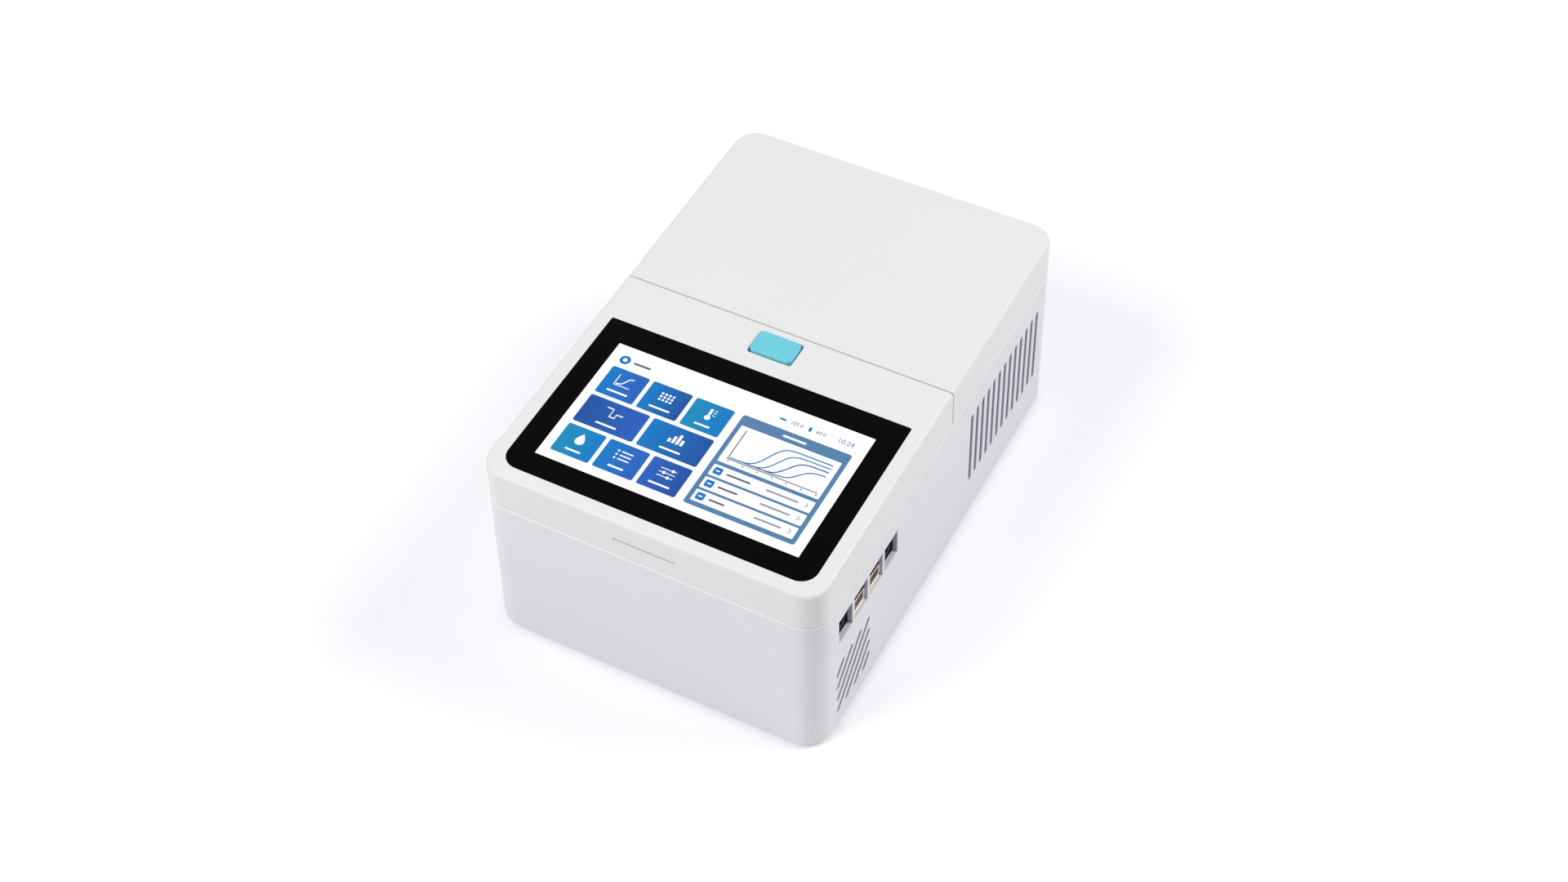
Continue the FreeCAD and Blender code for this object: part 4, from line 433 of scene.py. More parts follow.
# A modifier's node group: merges the loose triangles, and shades smoothly over edges below an angle
def makeSmoother():
    group = bpy.data.node_groups.new("smoothRounds", "GeometryNodeTree")
    for way in ("INPUT", "OUTPUT"):
        group.interface.new_socket("Geometry", in_out=way, socket_type="NodeSocketGeometry")
    start, end = group.nodes.new("NodeGroupInput"), group.nodes.new("NodeGroupOutput")
    merge = addNode(group, "GeometryNodeMergeByDistance", Distance=1e-6)
    faces = addNode(group, "GeometryNodeSetShadeSmooth", domain="FACE")
    edges = addNode(group, "GeometryNodeSetShadeSmooth", domain="EDGE")
    angle = group.nodes.new("GeometryNodeInputMeshEdgeAngle")
    limit = addNode(group, "FunctionNodeCompare", data_type="FLOAT", operation="LESS_THAN")
    limit.inputs[1].default_value = smoothAngle
    for source, target in ((start.outputs[0], merge.inputs["Geometry"]),
                           (merge.outputs["Geometry"], faces.inputs["Geometry"]),
                           (faces.outputs["Geometry"], edges.inputs["Geometry"]),
                           (angle.outputs["Unsigned Angle"], limit.inputs[0]),
                           (limit.outputs["Result"], edges.inputs["Shade Smooth"]),
                           (edges.outputs["Geometry"], end.inputs[0])):
        group.links.new(source, target)
    return group


smoother = makeSmoother()
for finish, look in looks.items():
    for name in look.get("on", "").split():
        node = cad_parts[name]
        node.data.materials.clear()
        node.data.materials.append(finishes[finish])
        node.modifiers.new("smoothRounds", "NODES").node_group = smoother
print("finishes given")

# Screen: a generic menu, a chart card and a header, in layers on the glass. Its plane is measured in millimetres,
# x from the middle line and y from 10.8 in front of the glass.
glassLow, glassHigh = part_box("cover_glass")
screen = {
    "lit": (-77.0, 77.0, 24.5, 112.8),
    "front": glassLow.y - 10.8 * mm,
    "layer": 0.04 * mm,
    "tileRound": 1.1,
    "tileTall": 20.6,
    "ink": srgb(96, 104, 120),
    "pale": srgb(214, 222, 232),
    "blue": srgb(28, 122, 198),
    "deepBlue": srgb(48, 98, 188),
    "seaBlue": srgb(34, 142, 184),
    "duskBlue": srgb(38, 84, 158),
    "slate": srgb(88, 130, 170),
}
tiles = {  # picture: its tile's left, right and lower edge, and its colours from left to right
    "runCurve": (-71.6, -48.8, 76.3, "blue", "deepBlue"),
    "plateDots": (-46.4, -22.6, 76.3, "blue", "duskBlue"),
    "heat": (-20.2, 2.6, 76.3, "seaBlue", "blue"),
    "steps": (-71.6, -35.7, 53.3, "duskBlue", "deepBlue"),
    "bars": (-33.3, 2.6, 53.3, "blue", "duskBlue"),
    "drop": (-71.6, -48.8, 30.3, "seaBlue", "blue"),
    "lines": (-46.4, -22.6, 30.3, "blue", "deepBlue"),
    "knobs": (-20.2, 2.6, 30.3, "deepBlue", "duskBlue"),
}


def onScreen(points):
    return np.asarray(points, float) * mm + [0, screen["front"]]


def layerSpan(layer):
    return glassHigh.z + (layer - 1) * screen["layer"], glassHigh.z + layer * screen["layer"]


def screenBox(x0, x1, y0, y1, radius, layer, tint):
    return slab(onScreen(roundedOutline((x0, x1), (y0, y1), radius, 5)), *layerSpan(layer), tint)


def screenDisc(x, y, radius, layer, tint):
    return slab(onScreen(circleOutline(x, y, radius)), *layerSpan(layer), tint)


def screenLine(points, width, layer, tint):
    return ribbon(onScreen(points), width * mm, *layerSpan(layer), tint)


def screenFigures(text, size, x, y, layer, tint):
    return figures(text, size * mm, onScreen((x, y)), *layerSpan(layer), tint)


# A growth curve: height over 1 plus e to the minus steepness times the distance from its middle
def riseCurve(x0, x1, y0, height, middle, steepness):
    x = np.linspace(x0, x1, 36)
    return np.column_stack([x, y0 + height / (1 + np.exp(-steepness * (x - middle)))])


# A drop: x is 0.9 radius times sin of the turn and sin of its half to the power 1.3, and y is radius times cos
def dropOutline(x, y, radius):
    turn = fullTurn(30)
    return np.column_stack([x - radius * 0.9 * np.sin(turn) * np.sin(turn / 2) ** 1.3, y + radius * np.cos(turn)])


# The white picture of one tile round (x, y), about 8 mm across
def drawTile(kind, x, y):
    def box(x0, x1, y0, y1, radius):
        return screenBox(x + x0, x + x1, y + y0, y + y1, radius, 3, white)

    def dot(across, up, radius):
        return screenDisc(x + across, y + up, radius, 3, white)

    if kind == "runCurve":
        return [screenLine(riseCurve(x - 3.9, x + 4.2, y - 2.6, 5.8, x + 0.6, 1.4), 0.75, 3, white),
                box(-4.9, -4.4, -3.9, 3.9, 0.2), box(-4.3, 4.7, -3.9, -3.4, 0.2)]
    if kind == "plateDots":
        return [dot(2.2 * (i - 1.5), 2.2 * (j - 1), 0.75) for i in range(4) for j in range(3)]
    if kind == "heat":
        return [dot(0, -2.4, 1.7), box(-0.75, 0.75, -0.6, 4.2, 0.7),
                *[box(1.7, 3.4, k - 0.25, k + 0.25, 0.2) for k in (0, 1.8, 3.6)]]
    if kind == "steps":
        return [*[box(-5.4 + 3.6 * k, -1.8 + 3.6 * k, level, level + 0.7, 0.2)
                  for k, level in enumerate((3.0, -2.6, 0.2))],
                box(-1.79, -1.3, -1.89, 3.7, 0.1), box(1.31, 1.79, -1.89, 0.9, 0.1)]
    if kind == "bars":
        return [box(-4.4 + 2.4 * k, -2.8 + 2.4 * k, -3.4, -3.4 + tall, 0.3) for k, tall in
                enumerate((2.6, 5.0, 7.0, 4.0))]
    if kind == "drop":
        return [slab(onScreen(dropOutline(x, y + 0.2, 4.0)), *layerSpan(3), white)]
    if kind == "lines":
        return [shape for k in (-2.6, 0, 2.6) for shape in (dot(-4, k, 0.65), box(-2.2, 4.6, k - 0.4, k + 0.4, 0.35))]
    return [shape for k, slide in ((-2.6, 1.8), (0, -1.6), (2.6, 2.6)) for shape in (
        box(-4.6, slide - 1.2, k - 0.25, k + 0.25, 0.2), dot(slide, k, 1.0),
        box(slide + 1.2, 4.9, k - 0.25, k + 0.25, 0.2))]


def makeScreen():
    ink, pale, blue = screen["ink"], screen["pale"], screen["blue"]
    parts = [screenBox(*screen["lit"], 0.3, 1, white)]
    for kind, (x0, x1, y, first, last) in tiles.items():
        middle, half = (x0 + x1) / 2, 4.6 if kind in ("heat", "lines", "drop") else 6.2
        tile = screenBox(x0, x1, y, y + screen["tileTall"], screen["tileRound"], 2, white)
        parts += [faded(tile, screen[first], screen[last]), *drawTile(kind, middle, y + 12.6),
                  screenBox(middle - half, middle + half, y + 3.6, y + 4.8, 0.5, 3, white)]
    # header: a round badge, a bar for its word, two readings, and the clock
    parts += [screenDisc(-68, 103.2, 3.1, 2, blue), screenDisc(-68, 103.2, 1.3, 3, white),
              screenBox(-62.6, -52.4, 102.5, 103.9, 0.6, 2, ink),
              screenBox(25.5, 29.3, 102.9, 104.3, 0.5, 2, screen["seaBlue"]),
              screenFigures("105.0", 3.3, 35.6, 103.5, 2, ink),
              screenBox(42.6, 44.2, 101.9, 105.2, 0.7, 2, blue),
              screenFigures("60.0", 3.3, 49.8, 103.5, 2, ink),
              screenBox(55.6, 55.9, 101.9, 105.1, 0.1, 2, pale),
              screenFigures("10:24", 4.4, 64.2, 103.5, 2, blue)]
    # card with its title, the chart of a run, and three rows
    parts += [screenBox(7.5, 71.3, 30.3, 97.2, 1.5, 2, screen["slate"]),
              screenBox(32.6, 46.2, 92.7, 94.1, 0.6, 3, white), screenBox(10.1, 68.7, 62.6, 90.0, 0.6, 3, white),
              *[screenBox(15.0, 66.4, y, y + 0.18, 0.05, 4, pale) for y in (70.8, 75.6, 80.4, 85.2)],
              screenBox(14.0, 14.6, 65.8, 87.6, 0.1, 4, ink), screenBox(14.7, 66.4, 65.8, 66.4, 0.1, 4, ink),
              *[screenBox(14.9 + 8.5 * k, 15.7 + 8.5 * k, 64.3, 65.2, 0.1, 4, ink) for k in range(7)]]
    for layer, (middle, height, colour) in enumerate(((33.0, 19.0, "blue"), (39.0, 16.4, "seaBlue"),
                                                      (45.5, 13.8, "deepBlue"), (52.5, 10.6, "slate"))):
        parts.append(screenLine(riseCurve(15.0, 65.6, 67.2, height, middle, 0.42), 0.75, 5 + layer / 2,
                                screen[colour]))
    for k in range(3):
        y = 52.3 - 9.5 * k
        parts += [screenBox(10.1, 68.7, y, y + 7.9, 0.6, 3, white),
                  screenBox(11.7, 16.5, y + 1.6, y + 6.4, 0.9, 4, blue),
                  screenBox(12.9, 15.3, y + 3.6, y + 4.4, 0.3, 5, white),
                  screenBox(19.0, 33.0 - 2.5 * k, y + 3.4, y + 4.6, 0.5, 4, ink),
                  screenBox(42.0 + 1.5 * k, 60.5, y + 3.4, y + 4.6, 0.5, 4, srgb(150, 158, 172)),
                  screenLine([(64.6, y + 5.4), (65.9, y + 4.0), (64.6, y + 2.6)], 0.45, 4, ink)]
    addPiece("screenMenu", parts, "screenLight", "base", smooth=False)


makeScreen()
print("screen laid")

# Screws: a pan head with a six-sided recess, and a shank of ringed ridges. The head's dome narrows by the cos of its
# bend and climbs by the sin.
screw = {"head": 2.8 * mm, "headHeight": 1.8 * mm, "dome": 1.15, "recess": 1.25 * mm, "shank": 1.5 * mm,
         "tip": 0.5 * mm, "pitch": 0.25 * mm, "ridge": 0.12 * mm}


# A hexagon's radius over a turn: its corners' radius over the cosine of the angle from the nearest flat's middle,
# times that of 30 degrees
def hexagon(corner):
    return corner / np.cos(fullTurn(roundSteps) % (math.pi / 3) - math.pi / 6) * math.cos(math.pi / 6)


def screwPart(x, y, seat, length, way):
    head, tall, shank, recess = screw["head"], screw["headHeight"], screw["shank"], screw["recess"]
    dome, pitch, start = screw["dome"], screw["pitch"], screw["tip"] - length
    ridges = range(1, int(length / pitch) - 3)
    body = turned([(shank * 0.6, -length), (shank, start),
                   *[(shank - screw["ridge"] * (k % 2), start + k * pitch) for k in ridges],
                   (shank, 0.0), (head * 0.98, 0.0),
                   *[(head * (0.45 + 0.55 * math.cos(b)), tall * (0.35 + 0.65 * math.sin(b) / math.sin(dome)))
                     for b in np.linspace(0.0, dome, 6)],
                   (hexagon(recess * 1.08), tall), (hexagon(recess), tall * 0.9), (hexagon(recess), tall * 0.35),
                   (recess * 0.4, tall * 0.25)])
    return moved(body, (x, y, seat), w=(0, 0, way))


def makeScrews():
    head, tall = screw["head"], screw["headHeight"]
    for name, piece, body, way in (("deck_screws", "deckScrews", "base", 1), ("lid_screws", "lidScrews", "lid", -1),
                                   ("bottom_screws", "bottomScrews", "base", -1),
                                   ("cover_screws", "coverScrews", "base", -1)):
        low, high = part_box(name)
        seat = high.z - tall if way > 0 else low.z + tall
        parts = [screwPart(x, y, seat, high.z - low.z - tall, way) for x, y in corners(name, head)]
        addPiece(piece, parts, "screwSteel", body, replaced=(name,))


makeScrews()

# Feet: moulded rubber with a groove round the tread and a recess for the fixing, as shares of radius and height
foot = {
    "radius": 8.0 * mm,
    "profile": [(0.30, 0.50), (0.32, 0.10), (0.36, 0.02), (0.40, 0.0), (0.68, 0.0), (0.71, 0.05), (0.73, 0.16),
                (0.76, 0.16), (0.78, 0.05), (0.81, 0.0), (0.90, 0.0), (0.95, 0.06), (0.97, 0.15), (1.0, 0.80),
                (0.99, 0.92), (0.96, 1.0)],
}


def makeFeet():
    low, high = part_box("feet")
    tread = turned(np.array(foot["profile"]) * [foot["radius"], high.z - low.z], 40)
    parts = [moved(tread, (x, y, low.z)) for x, y in corners("feet", foot["radius"])]
    addPiece("footTreads", parts, "footRubber", "base", replaced=("feet",))


makeFeet()

# Springs: round wire with closed ends, which shorten as the button or the heated plate moves
spring = {"wire": 0.3 * mm, "buttonTurns": 6, "plateTurns": 5, "plateRadius": 2.1 * mm, "pinRadius": 1.5 * mm,
          "buttonTravel": 2.5 * mm, "plateTravel": 2.0 * mm}


# A helix: radius times (cos, sin) of the turn, and a height that hardly rises over the first and last turn
def springPart(x, y, low, high, radius, turns):
    t = np.linspace(0, 1, turns * 22)
    wire = spring["wire"]
    height = low + wire + (high - low - 2 * wire) * (0.16 * t + 0.84 * np.clip((t - 0.14) / 0.72, 0, 1))
    angle = 2 * math.pi * turns * t
    return tube(np.column_stack([onCircle(x, y, radius, angle), height]), wire)


def makeSprings():
    low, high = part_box("button_springs")
    outer = (high.y - low.y) / 2
    parts = [springPart(x, low.y + outer, low.z, high.z, outer - spring["wire"], spring["buttonTurns"])
             for x in (low.x + outer, high.x - outer)]
    coils = addPiece("buttonSprings", parts, "springSteel", "base", replaced=("button_springs",))
    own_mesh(coils)
    low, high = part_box("plate_springs")
    parts = [springPart(x, y, low.z, high.z, spring["plateRadius"], spring["plateTurns"])
             for x, y in corners("float_pins", spring["pinRadius"])]
    coils = addPiece("plateSprings", parts, "springSteel", "lid", replaced=("plate_springs",))
    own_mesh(coils)


makeSprings()
print("screws, feet and springs made")

# Latch: a moulded bell crank with a hub, a hooked nose, and a crowned toe under the button's stem. Its side view, in
# millimetres from its pin, lies inside the solid by the edge, which bulges out to it.
hook = {
    "edge": 0.25,
    "arm": 1.35,
    "web": 0.8,
    "hub": 2.95,
    "hole": 1.95,
    "width": 7.6,
    "toeUnder": ((-15.94, -0.9), (-15.81, -1.22), (-15.49, -1.35)),
    "nose": ((1.35, 7.25), (6.65, 7.25), (6.65, 8.4), (6.25, 9.0), (5.15, 9.95), (-0.75, 9.95), (-1.17, 9.77),
             (-1.35, 9.35)),
    "stem": 13.0,
    "crown": 3.75,
    "crownReach": 2.0,
    "toeOver": ((-15.64, 0.35), (-15.94, -0.2)),
}


def makeHook():
    pin = spanOf("latch_pin")[2]
    arm, hub, web, stem = hook["arm"], hook["hub"], hook["web"], hook["stem"]
    # the crown under the stem falls by the square of the reach over twice its radius
    reach = np.linspace(hook["crownReach"], -hook["crownReach"], 13)
    crown = np.column_stack([reach - stem, arm - reach ** 2 / (2 * hook["crown"])])
    under, side = math.asin(arm / hub), math.asin(web / hub)
    lower = onCircle(0, 0, hub, np.linspace(math.pi + under, 2.5 * math.pi - under, 24))
    upper = onCircle(0, 0, hub, np.linspace(0.5 * math.pi + under, math.pi - side, 5))
    outline = np.vstack([hook["toeUnder"], lower, hook["nose"], upper, [(reach[0] - stem + 0.6, web)], crown,
                         hook["toeOver"]])
    crank = plate([outline * mm, circleOutline(0, 0, hook["hole"] * mm)], hook["width"] * mm, hook["edge"] * mm)
    addPiece("hookCrank", [moved(crank, (0, pin.y, pin.z), u=(0, 1, 0), v=(0, 0, 1), w=(1, 0, 0))], "ductPlastic",
             "hook", replaced=("latch_hook",))


makeHook()

# Sockets: contact wires in the two network ones; a rolled lip, a tongue and contacts in the two flat ones. Pairs and
# spans are in millimetres from the front and the roof.
socket = {
    "pitch": 17.8 * mm,
    "networkRoof": 14.6 * mm,
    "wire": 0.22 * mm,
    "wirePitch": 1.02 * mm,
    "wirePath": ((-11.8, -0.3), (-10.0, -0.5), (-4.0, -3.0), (-3.0, -3.2)),
    "flatWidth": 14.4 * mm,
    "flatHeight": 8.8 * mm,
    "tongue": ((-12.4, -1.0), (-5.6, 5.6), (-3.75, -1.7)),
    "strip": ((-9.0, -1.6), (-0.5, 0.5), (-3.9, -3.7)),
    "strips": (-3.5, -1.1, 1.1, 3.5),
    "lip": ((-0.55, -0.6), (-0.5, 0.0), (-0.3, 0.22), (0.0, 0.3), (0.25, 0.2), (0.3, -0.05), (0.0, -0.3)),
}


def makeSockets():
    low, high, middle = spanOf("network_port")
    first, front, roof = middle.y, high.x, low.z + socket["networkRoof"]
    wires = [tube([(front + out * mm, y, roof + up * mm) for out, up in socket["wirePath"]], socket["wire"], 6)
             for y in [first + k * socket["pitch"] + (n - 3.5) * socket["wirePitch"] for k in (0, 3) for n in range(8)]]
    addPiece("socketWires", wires, "goldContact", "base")
    low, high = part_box("usb_ports")
    floor, roof, front = low.z, low.z + socket["flatHeight"], high.x

    def block(spans, y, radius, edge):
        x, across, z = np.array(spans) * mm
        return softBlock(front + x, y + across, roof + z, radius * mm, edge * mm)

    tongues, strips, lips = [], [], []
    for y in (first + socket["pitch"], first + 2 * socket["pitch"]):
        tongues.append(block(socket["tongue"], y, 0.3, 0.25))
        strips += [block(socket["strip"], y + n * mm, 0.1, 0.05) for n in socket["strips"]]
        # the rim's outline grows and turns back over the shell's edge
        rings = []
        for grow, out in socket["lip"]:
            half = socket["flatWidth"] / 2 + grow * mm
            outline = roundedOutline((y - half, y + half), (floor - grow * mm, roof + grow * mm), 0.9 * mm, 5)
            rings.append(np.column_stack([np.full(len(outline), front + out * mm), outline]))
        lips.append(loft(rings, closed=True))
    addPiece("socketTongues", tongues, "tonguePlastic", "base")
    addPiece("socketStrips", strips, "goldContact", "base")
    addPiece("socketLips", lips, "socketShell", "base")


makeSockets()

# Back panel: pins and screws of the mains inlet, and the hinges' screws. A head is its radius, height and recess.
backPanel = {
    "pin": (2.2 * mm, 4.2 * mm, 15.0 * mm),
    "pins": ((-7, -1.5), (0, 2.0), (7, -1.5)),
    "pinDepth": 4.5 * mm,
    "flangeHead": (2.7 * mm, 0.7 * mm, 1.1 * mm),
    "flangeReach": 20.0 * mm,
    "leafHead": (2.2 * mm, 0.6 * mm, 0.9 * mm),
    "leaf": 1.6 * mm,
    "hingeReach": 55 * mm,
    "screwReach": 13 * mm,
    "screwDrop": 12 * mm,
}


# Turns a part made along Z to face the back
def facingBack(part, x, y, z):
    return moved(part, (x, y, z), u=(-1, 0, 0), v=(0, 0, 1), w=(0, 1, 0))


# A shallow domed head with a six-sided recess
def lowHead(radius, tall, recess):
    return turned([(radius, 0.0), (radius, tall * 0.3), (radius * 0.93, tall * 0.7), (radius * 0.7, tall),
                   (hexagon(recess * 1.1), tall), (hexagon(recess), tall * 0.85), (hexagon(recess), tall * 0.2)])


def makeBackPanel():
    low, high, middle = spanOf("power_inlet")
    wide, tall, reach = backPanel["pin"]
    pin = softBlock((-wide / 2, wide / 2), (-tall / 2, tall / 2), (0, reach), 0.5 * mm, 0.5 * mm)
    y = high.y - backPanel["pinDepth"] - reach
    addPiece("inletPins", [facingBack(pin, middle.x + across * mm, y, middle.z + up * mm)
                           for across, up in backPanel["pins"]], "brassPin", "base")
    flangeHead, leafHead = lowHead(*backPanel["flangeHead"]), lowHead(*backPanel["leafHead"])
    heads = [facingBack(flangeHead, middle.x + side * backPanel["flangeReach"], high.y, middle.z) for side in (-1, 1)]
    level = spanOf("hinge_pins")[2].z
    leafHeads = []
    for name, way in (("hinge_base_leaves", -1), ("hinge_lid_leaves", 1)):
        face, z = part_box(name)[0].y + backPanel["leaf"], level + way * backPanel["screwDrop"]
        leafHeads.append([facingBack(leafHead, side * backPanel["hingeReach"] + end * backPanel["screwReach"], face, z)
                          for side in (-1, 1) for end in (-1, 1)])
    addPiece("backScrews", heads + leafHeads[0], "screwSteel", "base")
    addPiece("lidLeafScrews", leafHeads[1], "screwSteel", "lid")


makeBackPanel()

# The switch's marks, a bar and a ring, each on its own slope of the rocker
switchMark = {"size": 1.7 * mm, "ink": 0.05 * mm, "lift": 0.02 * mm, "bar": 0.6 * mm, "ridge": 1.2 * mm,
              "rises": (1.2 * mm, -1.4 * mm)}


def makeSwitchMarks():
    low, high, middle = spanOf("switch_rocker")
    half = (high.x - low.x) / 2
    size, ink, wide, ridge = switchMark["size"], switchMark["ink"], switchMark["bar"] / 2, high.y - switchMark["ridge"]
    bar = slab(roundedOutline((-wide, wide), (-1.1 * size, 1.1 * size), wide / 2), 0, ink)
    outer, inner = circleOutline(0, 0, size), circleOutline(0, 0, 0.7 * size)
    ring = loft([lifted(outline, height) for outline, height in ((outer, 0), (outer, ink), (inner, ink), (inner, 0))],
                closed=True)
    marks = []
    for part, side, rise in zip((bar, ring), (-1, 1), switchMark["rises"]):
        slope = np.array([half, side * rise, 0.0]) / math.hypot(half, rise)
        normal = np.array([-slope[1], slope[0], 0.0])
        place = np.array([middle.x + side * half / 2, ridge + rise / 2, middle.z]) + normal * switchMark["lift"]
        marks.append(moved(part, place, u=-slope, v=(0, 0, 1), w=normal))
    addPiece("switchMarks", marks, "markInk", "rocker", smooth=False)


makeSwitchMarks()
print("sockets and back panel made")

# Parts under the lid: the wells' numbers on the deck, along both sides of the block
wellFigure = {"first": -31.5 * mm, "pitch": 9.0 * mm, "size": 3.4 * mm, "away": 8.2 * mm, "ink": 0.03 * mm}


def makeWellFigures():
    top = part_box("inner_deck")[1].z
    low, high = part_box("sample_block")
    away, across = wellFigure["away"], [wellFigure["first"] + k * wellFigure["pitch"] for k in range(8)]
    parts = [figures(str(start + k), wellFigure["size"], (x, y), top, top + wellFigure["ink"])
             for y, start in ((low.y - away, 1), (high.y + away, 9)) for k, x in enumerate(across)]
    addPiece("wellFigures", parts, "markInk", "base", smooth=False)


# The heater's trace runs to and fro over the pad: x steps on at each end of a run along y
trace = {"runs": 21, "width": 0.7 * mm, "inset": 3 * mm, "ink": 0.03 * mm}


def makeHeaterTrace():
    low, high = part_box("heater_pad")
    start, end = low.y + trace["inset"], high.y - trace["inset"]
    across = np.repeat(np.linspace(low.x + trace["inset"], high.x - trace["inset"], trace["runs"]), 2)
    ends = np.resize([start, end, end, start], len(across))
    t = np.linspace(0, len(across) - 1, (len(across) - 1) * 6 + 1)
    path = np.column_stack([np.interp(t, np.arange(len(across)), values) for values in (across, ends)])
    addPiece("heaterTrace", [ribbon(path, trace["width"], high.z, high.z + trace["ink"])], "heaterTrace", "plate",
             smooth=False)


# Each face of a lens bulges by its height times 1 less the square of the share of the radius
lens = {"under": 0.2 * mm, "over": 0.6 * mm, "above": 0.1 * mm}


def makeLenses():
    low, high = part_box("optics_lenses")
    radius = (high.x - low.x) / 2
    share = np.linspace(0.02, 1, 9)
    under = np.column_stack([radius * share, low.z + lens["under"] * share ** 2])
    over = np.column_stack([radius * share, high.z - lens["above"] + lens["over"] * (1 - share ** 2)])[::-1]
    glass = turned(np.vstack([under, over]), 40)
    addPiece("lensPair", [moved(glass, (low.x + radius, y, 0)) for y in (low.y + radius, high.y - radius)],
             "lensGlass", "optics", replaced=("optics_lenses",))


# A four-start thread: the radius falls by the depth times a flattened wave of four turns less x over the lead
leadScrew = {"starts": 4, "depth": 0.45 * mm, "lead": 9.0 * mm, "journal": 8.0 * mm, "runOut": 0.6 * mm,
             "bevel": 0.5 * mm, "rings": 340, "around": 28}


def makeLeadScrew():
    low, high, middle = spanOf("lead_screw")
    x = np.linspace(low.x, high.x, leadScrew["rings"])[:, None]
    turn = fullTurn(leadScrew["around"])
    wave = 0.5 - 0.5 * np.cos(leadScrew["starts"] * (turn - 2 * math.pi * x / leadScrew["lead"]))
    inner, bevel = np.minimum(x - low.x, high.x - x), leadScrew["bevel"]
    cut = np.clip((inner - leadScrew["journal"]) / leadScrew["runOut"], 0, 1) * np.clip(wave * 1.6 - 0.3, 0, 1)
    radius = (high.z - low.z) / 2 - bevel + bevel * np.clip(inner / bevel, 0, 1) - leadScrew["depth"] * cut
    rings = np.stack([np.repeat(x, len(turn), 1), middle.y + radius * np.cos(turn), middle.z + radius * np.sin(turn)],
                     -1)
    addPiece("leadScrewThread", [loft(rings)], "screwSteel", "screw", replaced=("lead_screw",))


# A square motor body with two end plates. A ring is its distance from that end, its inset and its corners' radius,
# in millimetres.
motor = {
    "front": ((0.0, 0.4, 1.6), (0.4, 0.0, 1.8), (3.0, 0.0, 1.8), (3.0, 0.5, 1.4)),
    "back": ((3.0, 0.5, 1.4), (3.0, 0.0, 1.8), (0.9, 0.0, 1.8), (0.5, 0.4, 1.6)),
    "screwHead": (1.1 * mm, 0.5 * mm, 0.5 * mm),
    "screwReach": 6.0 * mm,
}


def makeMotor():
    low, high, middle = spanOf("stepper_motor")
    y, z, half = middle.y, middle.z, (high.y - low.y) / 2
    head, reach = lowHead(*motor["screwHead"]), motor["screwReach"]
    face = high.x - motor["screwHead"][1]
    rings = []
    for end, way in (("front", 1), ("back", -1)):
        for along, inset, corner in motor[end]:
            side = half - inset * mm
            outline = roundedOutline((y - side, y + side), (z - side, z + side), corner * mm, 5)
            x = (low.x if way > 0 else high.x) + way * along * mm
            rings.append(np.column_stack([np.full(len(outline), x), outline]))
    addPiece("motorCase", [loft(rings)], "motorBlack", "lid", replaced=("stepper_motor",))
    addPiece("motorScrews", [moved(head, (face, y + a * reach, z + b * reach), u=(0, 1, 0), v=(0, 0, 1), w=(1, 0, 0))
                             for a in (-1, 1) for b in (-1, 1)], "screwSteel", "lid")


makeWellFigures()
makeHeaterTrace()
makeLenses()
makeLeadScrew()
makeMotor()
print("parts under the lid made")

# Main board's small parts, in millimetres from its corner: blocks, rows of chips, legs, cans and screws
onBoard = {
    "board": 1.6,
    "steel": (0.55, 0.55, 0.56, 1.0),
    "black": (0.02, 0.02, 0.022, 1.0),
    "tan": (0.42, 0.3, 0.18, 1.0),
    "cream": (0.75, 0.73, 0.65, 1.0),
    "blocks": ((49, 56, 11, 4.5, 3.5, "steel"), (50, 63, 7, 7, 3.2, "black"), (30, 78, 24, 5, 2.5, "cream")),
    "rows": ((22, 50, 3, 0, 14), (22, 22, 3, 0, 14), (61, 27, 0, 2.5, 9), (18, 69, 3, 0, 10)),  # start, step, count
    "legs": ((22, 38, 30, 46, 12), (44, 56, 26, 46, 16)),
    "cans": ((10, 60), (10, 69)),
    "canProfile": ((3.0, 0.0), (3.15, 0.8), (3.15, 6.4), (2.9, 6.9), (2.3, 7.0), (2.2, 6.8)),
    "screws": ((5, 5), (5, 89), (68, 5), (68, 89)),
    "screwHead": (2.4 * mm, 1.2 * mm, 1.0 * mm),
}


def makeBoardParts():
    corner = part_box("main_board")[0]
    top = corner.z + onBoard["board"] * mm

    def box(x, y, wide, deep, tall, tint):
        outline = roundedOutline((x, x + wide), (y, y + deep), 0.1, 2) * mm + [corner.x, corner.y]
        return slab(outline, top, top + tall * mm, onBoard[tint])

    parts = [box(*values) for values in onBoard["blocks"]]
    for x, y, across, along, count in onBoard["rows"]:
        for k in range(count):
            a, b = x + k * across, y + k * along
            parts += [box(a, b, 2.0, 1.2, 0.7, "steel"), box(a + 0.4, b - 0.05, 1.2, 1.3, 0.8, ("black", "tan")[k % 2])]
    for x0, x1, y0, y1, count in onBoard["legs"]:
        for y in np.linspace(y0 + 1.0, y1 - 1.4, count):
            parts += [box(x, y, 1.1, 0.4, 0.4, "steel") for x in (x0 - 1.0, x1 - 0.1)]
    can = turned(np.array(onBoard["canProfile"]) * mm, 28, onBoard["steel"])
    parts += [moved(can, (corner.x + x * mm, corner.y + y * mm, top)) for x, y in onBoard["cans"]]
    addPiece("boardParts", parts, "smallParts", "base")
    head = lowHead(*onBoard["screwHead"])
    addPiece("boardScrews", [moved(head, (corner.x + x * mm, corner.y + y * mm, top)) for x, y in onBoard["screws"]],
             "screwSteel", "base")


makeBoardParts()
print("main board filled")

# Camera, as in the photograph
camera = {
    "place": (0.422273, -0.792571, 1.058854),
    "heading": 0.508541,
    "tilt": 0.721931,
    "roll": -0.028399,
    "lens": 54.872,
    "shift": (0.02039, 0.00684),
}


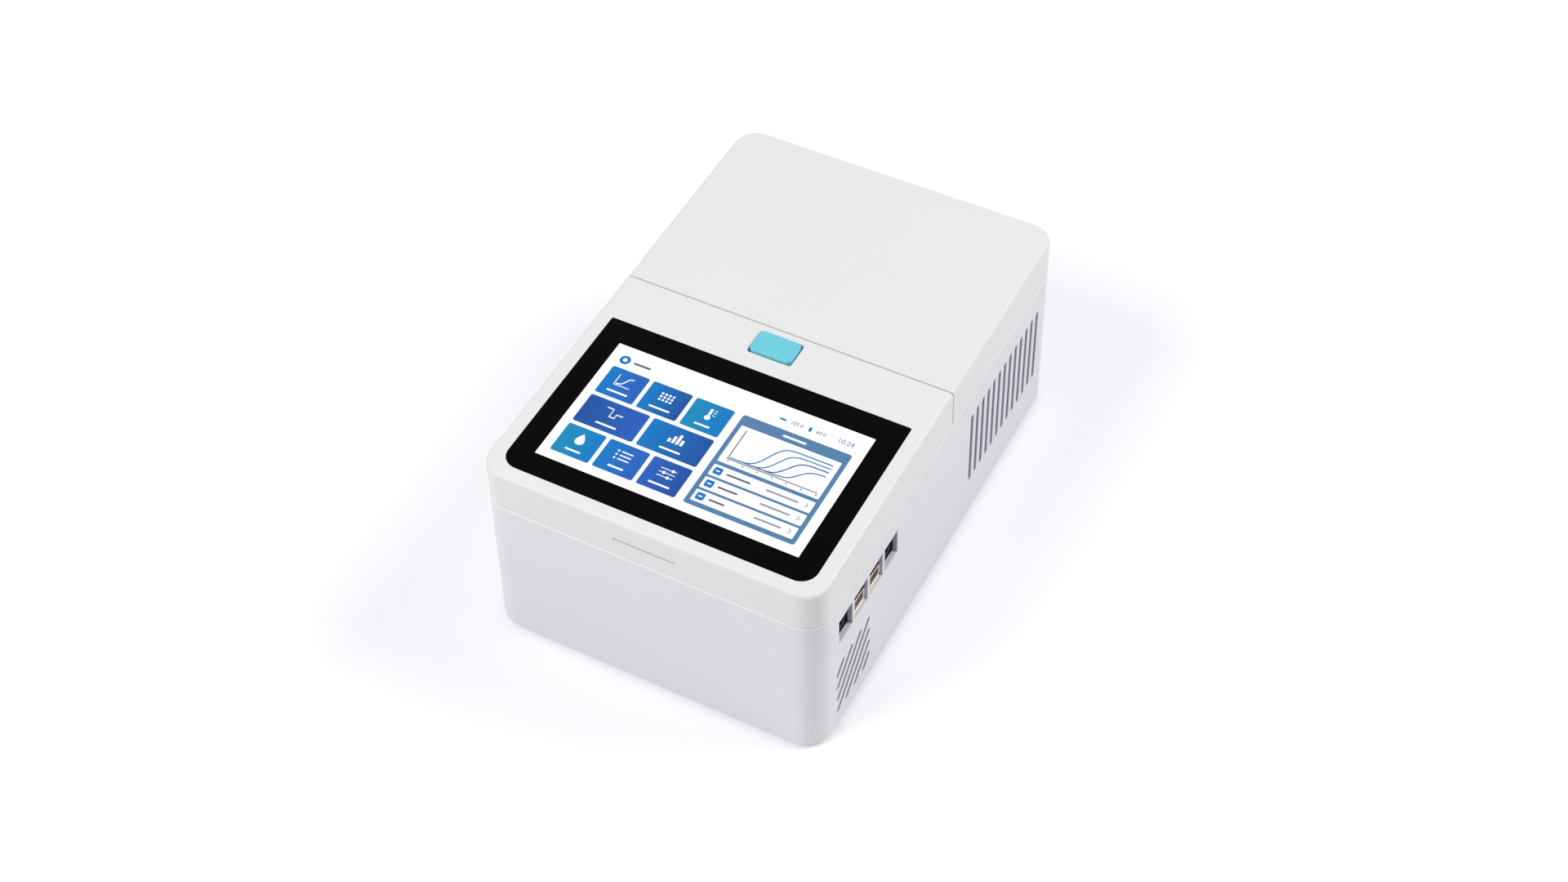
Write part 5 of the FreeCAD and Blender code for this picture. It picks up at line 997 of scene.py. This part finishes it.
def addCamera():
    data = bpy.data.cameras.new("photoCamera")
    data.lens = camera["lens"]
    data.shift_x, data.shift_y = camera["shift"]
    data.clip_start, data.clip_end = 0.05, 20
    seen = addObject("photoCamera", data)
    turn = (Matrix.Rotation(camera["heading"], 4, "Z") @ Matrix.Rotation(camera["tilt"], 4, "X")
            @ Matrix.Rotation(camera["roll"], 4, "Z"))
    seen.matrix_world = Matrix.Translation(camera["place"]) @ turn
    bpy.context.scene.camera = seen


# Light: a weak cool sky, a large soft lamp before the machine's left and one behind its right
studio = {
    "sky": 0.36,
    "skyColour": (0.92, 0.93, 1.0, 1.0),
    "floorSize": 3.0,
    "floorColour": (0.84, 0.84, 0.87, 1.0),
    "floorLift": 0.28,
    "floorFade": (0.45, 1.3),
    "lampColour": (1.0, 0.99, 0.965),
    "lamps": {  # place, size and watts
        "frontLeftLamp": ((-1.05, -1.45, 1.80), 1.4, 31.5),
        "backRightLamp": ((1.45, 1.05, 1.80), 1.4, 30.0),
    },
}


# 1 for what the camera, a gloss or a clear piece sees, and 0 for light that falls on the object
def seenPlainly(tree):
    rays = tree.nodes.new("ShaderNodeLightPath").outputs
    return maths(tree, "MAXIMUM", rays["Is Camera Ray"],
                 maths(tree, "MAXIMUM", rays["Is Glossy Ray"], rays["Is Transmission Ray"]))


def addStudio():
    world = bpy.data.worlds.new("studio")
    bpy.context.scene.world = world
    world.use_nodes = True
    tree = world.node_tree
    back, seen = tree.nodes["Background"], seenPlainly(tree)
    tree.links.new(mixed(tree, seen, studio["skyColour"], white), back.inputs["Color"])
    tree.links.new(spread(tree, seen, studio["sky"], 1.0, 0.0, 1.0), back.inputs["Strength"])
    half = studio["floorSize"] / 2
    mesh = bpy.data.meshes.new("floor")
    mesh.from_pydata([(-half, -half, 0), (half, -half, 0), (half, half, 0), (-half, half, 0)], [], [(0, 1, 2, 3)])
    floor = addObject("floor", mesh)
    material = bpy.data.materials.new("floorPaper")
    material.use_nodes = True
    tree = material.node_tree
    shader = tree.nodes["Principled BSDF"].inputs
    for socket, value in (("Base Color", studio["floorColour"]), ("Roughness", 0.9), ("Specular IOR Level", 0.0),
                          ("Emission Color", white)):
        shader[socket].default_value = value
    # the floor fades into white with the distance from its middle
    away = addNode(tree, "ShaderNodeVectorMath", operation="LENGTH")
    tree.links.new(addNode(tree, "ShaderNodeTexCoord").outputs["Object"], away.inputs[0])
    lift = spread(tree, away.outputs["Value"], studio["floorLift"], 1.0, *studio["floorFade"])
    tree.links.new(maths(tree, "MULTIPLY", lift, seenPlainly(tree)), shader["Emission Strength"])
    mesh.materials.append(material)
    for name, (place, size, watts) in studio["lamps"].items():
        data = bpy.data.lights.new(name, "AREA")
        data.shape, data.size, data.energy, data.color = "DISK", size, watts, studio["lampColour"]
        lamp = addObject(name, data)
        lamp.location = place
        lamp.rotation_mode = "QUATERNION"
        lamp.rotation_quaternion = (-lamp.location).to_track_quat("-Z", "Y")


addCamera()
addStudio()
bpy.context.scene.view_settings.view_transform = "Standard"
print("camera and light set")
